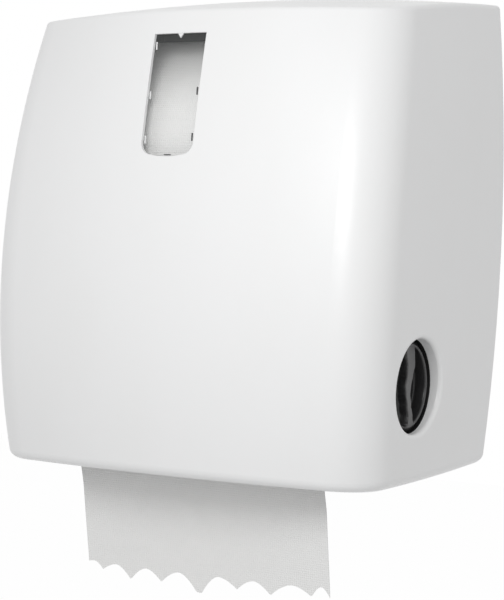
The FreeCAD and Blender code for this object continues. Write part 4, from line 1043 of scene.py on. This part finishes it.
@dataclass
class Towel(SubAssembly):
    """The towel from the roll round the drum and out of the mouth, with its torn edge.

    Each of torn_edge gives how far a notch or a tooth hangs, in millimetres below torn_length, at a share
    of the towel's width.
    """

    width: float = 210.0 * MM
    thickness: float = 0.45 * MM
    gap: float = 0.6 * MM
    columns: int = 168
    rows: int = 150
    row_gather: float = 1.35
    torn_length: float = 75.5 * MM
    mean_tear: float = 5.0 * MM
    arch: float = 1.7
    torn_edge: tuple[tuple[float, float], ...] = (
        (0.0, 0.5), (0.025, 0.0), (0.06, 6.0), (0.12, 0.8), (0.18, 11.0), (0.25, 1.0), (0.31, 10.0),
        (0.385, 1.0), (0.455, 14.5), (0.475, 15.0), (0.55, 0.5), (0.625, 8.0), (0.695, 0.0), (0.76, 9.0),
        (0.85, -1.0), (0.925, 5.5), (0.967, -3.0), (1.0, 4.0),
    )
    slack: float = 8.0 * MM
    drift: float = 1.6 * MM
    narrowing: float = 0.006
    curl: float = 1.6 * MM
    swell: float = 0.8 * MM
    swell_rate: float = 5.4
    swell_start: float = 0.8
    ripple: float = 0.35 * MM
    ripple_rate: float = 13.0
    ripple_twist: float = 60.0

    def build(self) -> None:
        """Lays the sheet along its path and tears its end."""
        path = TowelPath.from_frame(self.gap)
        deselect()
        bpy.ops.mesh.primitive_grid_add(x_subdivisions=self.columns, y_subdivisions=self.rows, size=1.0,
                                        calc_uvs=True)
        piece = started("towel_sheet")
        flat = [(vertex.co.x + 0.5, vertex.co.y + 0.5) for vertex in piece.data.vertices]
        reach = path.to_mouth + self.torn_length
        lengths = [self._spread(along) * (reach + self._fringe(across)) for across, along in flat]
        for vertex, (across, _), run in zip(piece.data.vertices, flat, lengths):
            vertex.co = self._place(path, across, run)
        layer = piece.data.uv_layers.active
        for loop in piece.data.loops:
            index = loop.vertex_index
            layer.data[loop.index].uv = (flat[index][0] * self.width, lengths[index])
        close_up(piece)
        finish_modifier(piece, "SOLIDIFY", thickness=self.thickness, offset=0.0)
        smooth(piece, 60.0)
        self.palette.dress(piece, TOWEL)
        self.fit(piece, "chassis", "towel_paper", "towel_web", "towel_tail")
        longest = reach + max(drop for _, drop in self.torn_edge) * MM
        area = self.width * (reach + self.mean_tear)

    def _spread(self, along: float) -> float:
        """Gathers the rows towards the torn end."""
        return 1.0 - (1.0 - along) ** self.row_gather

    def _fringe(self, across: float) -> float:
        """How far the torn edge hangs below torn_length.

        Args:
            across: The place, as a share of the width.

        Returns:
            The length.
        """
        for (left, first), (right, second) in zip(self.torn_edge, self.torn_edge[1:]):
            if across <= right:
                break
        share = min(1.0, (across - left) / (right - left))
        arch = share ** self.arch if second > first else 1.0 - (1.0 - share) ** self.arch
        return (first + (second - first) * arch) * MM

    def _place(self, path: TowelPath, across: float, run: float) -> Vector:
        """A point of the sheet, with the slack waves of its free end.

        Args:
            path: The towel's path.
            across: The point's share of the width.
            run: Its length along the path.

        Returns:
            The point.
        """
        y, z, lean = path.at(run)
        share = max(0.0, run - path.to_mouth + self.slack) / (self.torn_length + self.slack)
        swell = math.sin(across * self.swell_rate + self.swell_start) * self.swell
        ripple = math.sin(across * self.ripple_rate + run * self.ripple_twist) * self.ripple
        out = share * (swell + ripple + (2.0 * across - 1.0) ** 4 * self.curl)
        x = (across - 0.5) * self.width * (1.0 - self.narrowing * share) + self.drift * ramp(share * 3.0)
        return Vector((x, y - out * math.cos(lean), z - out * math.sin(lean)))


@dataclass
class WoundRoll(SubAssembly):
    """The wound towel: a ring with soft corners, uneven ends and the step of its outer end."""

    steps: int = 180
    rings: int = 24
    lanes: int = 20
    core_gap: float = 0.1 * MM
    corner: float = 0.8 * MM
    looseness: float = 0.45 * MM
    step_depth: float = 0.5 * MM
    step_turn: float = 0.17
    skin: float = 1.0 * MM

    def build(self) -> None:
        """Spins the ring's section and dresses its ends and its outside."""
        roll = Box.of("towel_roll")
        piece = spun("wound_towel", self._section(roll), roll.centre, self.steps)
        self._wind(piece, roll)
        self._map_wound(piece, roll)
        smooth(piece, 50.0)
        self.palette.dress(piece, TOWEL, ROLL_END)
        for face in piece.data.polygons:
            face.material_index = int(abs(face.normal.x) > 0.7)
        self.fit(piece, "roll", "wound_paper", "towel_roll")

    def _section(self, roll: Box) -> list[tuple[float, float]]:
        """The section's outline, with wandering layers at both ends.

        Args:
            roll: The roll's box.

        Returns:
            Places as (x, distance from the axis).
        """
        chance = random.Random(7)
        half, radius, corner = (roll.high.x - roll.low.x) / 2, roll.radius, self.corner
        inner = Box.of("roll_core").radius + self.core_gap
        right = []
        for ring in range(self.rings + 1):
            out = inner + (radius - corner - inner) * ring / self.rings
            right.append((half - chance.uniform(0.0, 1.0) * self.looseness, out))
        left = [(-x + chance.uniform(0.0, 1.0) * self.looseness, out) for x, out in reversed(right)]
        lanes = [half - 2 * half * lane / self.lanes for lane in range(self.lanes + 1)]
        outside = [(x - math.copysign(corner, x) if abs(x) > half - corner else x, radius) for x in lanes]
        return right + outside + left

    def _wind(self, piece: Piece, roll: Box) -> None:
        """Lets the outside wind in by one layer over a turn, so that its end makes a small step.

        Args:
            piece: The even roll.
            roll: Its box.
        """
        centre, radius = roll.centre, roll.radius
        for vertex in piece.data.vertices:
            offset = vertex.co - centre
            if math.hypot(offset.y, offset.z) > radius - self.skin:
                turn = (math.atan2(offset.z, offset.y) / TURN + self.step_turn) % 1.0
                scale = 1.0 - self.step_depth * turn / radius
                vertex.co.y = centre.y + offset.y * scale
                vertex.co.z = centre.z + offset.z * scale

    @staticmethod
    def _map_wound(piece: Piece, roll: Box) -> None:
        """Gives the roll a UV map in metres round the outside.

        Args:
            piece: The wound roll.
            roll: Its box.
        """
        centre, radius = roll.centre, roll.radius
        layer = piece.data.uv_layers.active or piece.data.uv_layers.new(name="wound")
        for face in piece.data.polygons:
            base = None
            for index in face.loop_indices:
                place = piece.data.vertices[piece.data.loops[index].vertex_index].co - centre
                turn = math.atan2(place.z, place.y)
                base = turn if base is None else base
                layer.data[index].uv = (place.x, (turn - TURN * round((turn - base) / TURN)) * radius)


# ---- springs and screws

@dataclass(frozen=True)
class Coil:
    """A coil's start on its axis, the axis, its length, its radius to the wire's middle and its turns."""

    start: Vector
    axis: Vector
    length: float
    radius: float
    turns: int


@dataclass
class Springs(SubAssembly):
    """Wound wire in place of the plain spring solids."""

    wire: float = 0.6 * MM
    wire_sides: int = 8
    turn_steps: int = 20
    assist_hook: float = 7.0 * MM
    assist_radius: float = 3.4 * MM
    assist_turns: int = 34
    torsion_turns: int = 4
    pawl_radius: float = 2.5 * MM
    knife_radius: float = 2.8 * MM
    pinch_length: float = 5.4 * MM
    pinch_radius: float = 4.2 * MM
    pinch_turns: int = 5

    def build(self) -> None:
        """Winds each spring between the ends of its node."""
        low, high = Box.of("assist_spring")
        centre = (low + high) / 2
        coil = Coil(Vector((centre.x, centre.y, low.z + self.assist_hook)), UP,
                    high.z - low.z - 2 * self.assist_hook, self.assist_radius, self.assist_turns)
        self._fit_wire(self._wind("assist_coil", coil), "chassis", "assist_spring")
        for name, node, radius, body in (("pawl_coil", "pawl_spring", self.pawl_radius, "chassis"),
                                         ("knife_coil", "knife_spring", self.knife_radius, "drum")):
            low, high = Box.of(node)
            coil = Coil(Vector((low.x + self.wire, *Box.of(node).centre.yz)), RIGHTWARD,
                        high.x - low.x - 2 * self.wire, radius, self.torsion_turns)
            self._fit_wire(self._wind(name, coil), body, node)
        low, high = Box.of("pinch_springs")
        coil = Coil(Vector((low.x, *Box.of("pinch_springs").centre.yz)), RIGHTWARD, self.pinch_length,
                    self.pinch_radius, self.pinch_turns)
        first = self._wind("pinch_coil", coil)
        across = Matrix.Translation(RIGHTWARD * (high.x - low.x - self.pinch_length))
        second = copied(first, "pinch_coil_right", across)
        self._fit_wire(join("pinch_coils", [first, second]), "chassis", "pinch_springs")

    def _fit_wire(self, piece: Piece, body: str, node: str) -> None:
        """Dresses a coil and fits it in place of its node."""
        self.palette.dress(piece, SPRING_STEEL)
        self.fit(piece, body, "spring_steel", node)

    def _wind(self, name: str, coil: Coil) -> Piece:
        """Turns a small circle of wire round an axis with the Screw modifier.

        Args:
            name: The piece's name.
            coil: The coil's place and sizes.

        Returns:
            The coil.
        """
        deselect()
        bpy.ops.mesh.primitive_circle_add(
            vertices=self.wire_sides, radius=self.wire, location=(coil.radius, 0.0, 0.0),
            rotation=(math.pi / 2, 0.0, 0.0), fill_type="NGON")
        piece = started(name)
        finish_modifier(piece, "SCREW", angle=TURN, screw_offset=coil.length / coil.turns, axis="Z",
                        iterations=coil.turns, steps=self.turn_steps, render_steps=self.turn_steps)
        close_up(piece, 0.001 * MM)
        piece.data.transform(stood(coil.start, coil.axis))
        smooth(piece, 60.0)
        return piece


class Head(Enum):
    """Which way a screw's head faces."""

    FRONT = (0.0, -1.0, 0.0)
    LEFT = (-1.0, 0.0, 0.0)
    RIGHT = (1.0, 0.0, 0.0)


@dataclass
class Screws(SubAssembly):
    """Pan-head screws with a cross recess, in place of the plain ones."""

    large: float = 4.0 * MM
    small: float = 3.0 * MM
    head_height: float = 1.8 * MM
    head_round: float = 0.6 * MM
    slot_width: float = 0.7 * MM
    slot_share: float = 0.62
    slot_depth: float = 1.0 * MM
    shank_length: float = 4.0 * MM
    shank_sink: float = 0.2 * MM
    shank_share: float = 0.48

    def build(self) -> None:
        """Puts the heads at the corners of their nodes' boxes."""
        low, high = Box.of("cheek_screws")
        heads = [(x, low.y, z, Head.FRONT) for x in inset(low.x, high.x, self.large)
                 for z in inset(low.z, high.z, self.large)]
        self._set_of("cheek_screw_heads", "cheek_screws", "chassis", self.large, heads)
        low, high = Box.of("case_screws")
        heads = [(low.x, y, z, Head.LEFT) for y in inset(low.y, high.y, self.small)
                 for z in inset(low.z, high.z, self.small)]
        self._set_of("case_screw_heads", "case_screws", "chassis", self.small, heads)
        low, high = Box.of("drum_screws")
        level = Box.of("drum_shaft").centre.z
        heads = [(x, y, level, way) for y in inset(low.y, high.y, self.small)
                 for x, way in ((high.x, Head.RIGHT), (low.x, Head.LEFT))]
        self._set_of("drum_screw_heads", "drum_screws", "drum", self.small, heads)

    def _set_of(self, name: str, node: str, body: str, radius: float,
                heads: Sequence[tuple[float, float, float, Head]]) -> None:
        """Models one head and fits a copy of it at each place.

        Args:
            name: The piece's name.
            node: The node that it stands for.
            body: The body that it rides on.
            radius: The head's radius.
            heads: Each head's top as x, y and z, and the way that it faces.
        """
        pattern = self._head(radius)
        copies = [copied(pattern, name, stood(place, Vector(way.value))) for *place, way in heads]
        bpy.data.objects.remove(pattern)
        piece = join(name, copies)
        smooth(piece)
        self.palette.dress(piece, ZINC)
        self.fit(piece, body, "zinc_steel", node)

    def _head(self, radius: float) -> Piece:
        """A domed head with a cross recess and a short shank, its top at the origin and its axis along Z.

        Args:
            radius: The head's radius.

        Returns:
            The head.
        """
        piece = disc("head", (0.0, 0.0, -self.head_height / 2), radius, self.head_height, 32)
        bevel(piece, self.head_round, 4)
        long, wide = radius * self.slot_share, self.slot_width / 2
        for x, y in ((long, wide), (wide, long)):
            cutter = block("cutter", (-x, -y, -self.slot_depth), (x, y, self.slot_depth))
            finish_modifier(piece, "BOOLEAN", object=cutter, operation="DIFFERENCE", solver="EXACT")
            bpy.data.objects.remove(cutter)
        middle = self.shank_sink - self.head_height - self.shank_length / 2
        shank = disc("shank", (0.0, 0.0, middle), radius * self.shank_share, self.shank_length, 20)
        return join("head", [piece, shank])


# ---- studio

@dataclass
class Studio:
    """Floor, lamp, world and camera; the angles are in degrees and the focal length in pixels."""

    azimuth: float = 30.539
    elevation: float = -1.855
    roll: float = 3.816
    distance: float = 1.359366
    aim: tuple[float, float, float] = (0.018761, -0.110, -0.048416)
    focal_pixels: float = 1831.516
    frame_height: float = 600.0
    sensor_height: float = 24.0
    floor_size: float = 14.0
    floor_level: float = -0.62
    floor_share: float = 0.98
    ambient: float = 0.615
    key_place: tuple[float, float, float] = (0.24, -0.80, 0.17)
    key_size: float = 0.3
    key_power: float = 1.9

    def build(self) -> None:
        """Sets up everything that isn't part of the object."""
        bpy.context.scene.view_settings.view_transform = "Standard"
        self._world()
        self._floor()
        self._key_lamp()
        self._camera()

    def _world(self) -> None:
        """An even pale world, plain white where the camera, gloss or glass sees it."""
        world = bpy.data.worlds.new("studio")
        bpy.context.scene.world = world
        world.use_nodes = True
        shader = Shader("studio", tree=world.node_tree)
        light = shader.node("ShaderNodeBackground", None, {"Color": WHITE, "Strength": self.ambient})
        seen = shader.node("ShaderNodeBackground", None, {"Color": WHITE, "Strength": 1.0})
        mix = shader.node("ShaderNodeMixShader", None,
                          {0: shader.seen_rays(), 1: light.outputs[0], 2: seen.outputs[0]})
        shader.node("ShaderNodeOutputWorld", None, {"Surface": mix.outputs[0]})

    def _floor(self) -> None:
        """A wide pale floor that shows the camera white and keeps the object's shadow."""
        deselect()
        bpy.ops.mesh.primitive_plane_add(size=self.floor_size, location=(0.0, 0.0, self.floor_level))
        floor = started("floor")
        shader = Shader("floor_white")
        shader.set(Base_Color=(0.86, 0.86, 0.86), Roughness=0.9)
        glow = shader.node("ShaderNodeEmission", None, {"Color": WHITE, "Strength": 1.0})
        mix = shader.node("ShaderNodeMixShader", None, {0: shader.seen_rays() * self.floor_share,
                                                        1: shader.surface.outputs[0], 2: glow.outputs[0]})
        shader.put(shader.output, "Surface", mix.outputs[0])
        floor.data.materials.append(shader.material)

    def _key_lamp(self) -> None:
        """A soft round lamp near the right front edge, which it draws as a bright line."""
        data = bpy.data.lights.new("key_lamp", "AREA")
        data.shape = "DISK"
        data.size = self.key_size
        data.energy = self.key_power
        lamp = bpy.data.objects.new("key_lamp", data)
        bpy.context.scene.collection.objects.link(lamp)
        lamp.location = self.key_place
        beam = Vector(self.aim) - Vector(self.key_place)
        lamp.rotation_euler = beam.to_track_quat("-Z", "Y").to_euler()

    def _camera(self) -> None:
        """The camera, slightly below the middle and turned a little about its own axis."""
        turn, rise, tilt = (math.radians(angle) for angle in (self.azimuth, self.elevation, self.roll))
        back = Vector((math.sin(turn) * math.cos(rise), -math.cos(turn) * math.cos(rise), math.sin(rise)))
        right = (-back).cross(UP).normalized()
        up = right.cross(-back)
        across = right * math.cos(tilt) + up * math.sin(tilt)
        above = up * math.cos(tilt) - right * math.sin(tilt)
        data = bpy.data.cameras.new("camera")
        data.sensor_fit = "VERTICAL"
        data.sensor_height = self.sensor_height
        data.lens = self.focal_pixels * self.sensor_height / self.frame_height
        data.clip_start, data.clip_end = 0.05, 30.0
        camera = bpy.data.objects.new("camera", data)
        bpy.context.scene.collection.objects.link(camera)
        rotation = Matrix((across, above, back)).transposed().to_4x4()
        camera.matrix_world = Matrix.Translation(Vector(self.aim) + back * self.distance) @ rotation
        bpy.context.scene.camera = camera


# ---- whole dispenser

def dress_nodes(palette: Palette) -> None:
    """Gives every carried-over node its finish."""
    for name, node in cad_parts.items():
        palette.dress(node, NODE_FINISHES[name])
        log.info("%s: %s", name, NODE_FINISHES[name].name)


def main() -> None:
    """Builds the pieces in order, then the studio."""
    logging.basicConfig(level=logging.INFO, format="%(name)s: %(message)s")
    palette = Palette()
    dress_nodes(palette)
    for sub_assembly in (FeedKnob, WindowFittings, Towel, WoundRoll, Springs, Screws):
        sub_assembly(palette).build()
    Studio().build()


if __name__ == "__main__":
    main()
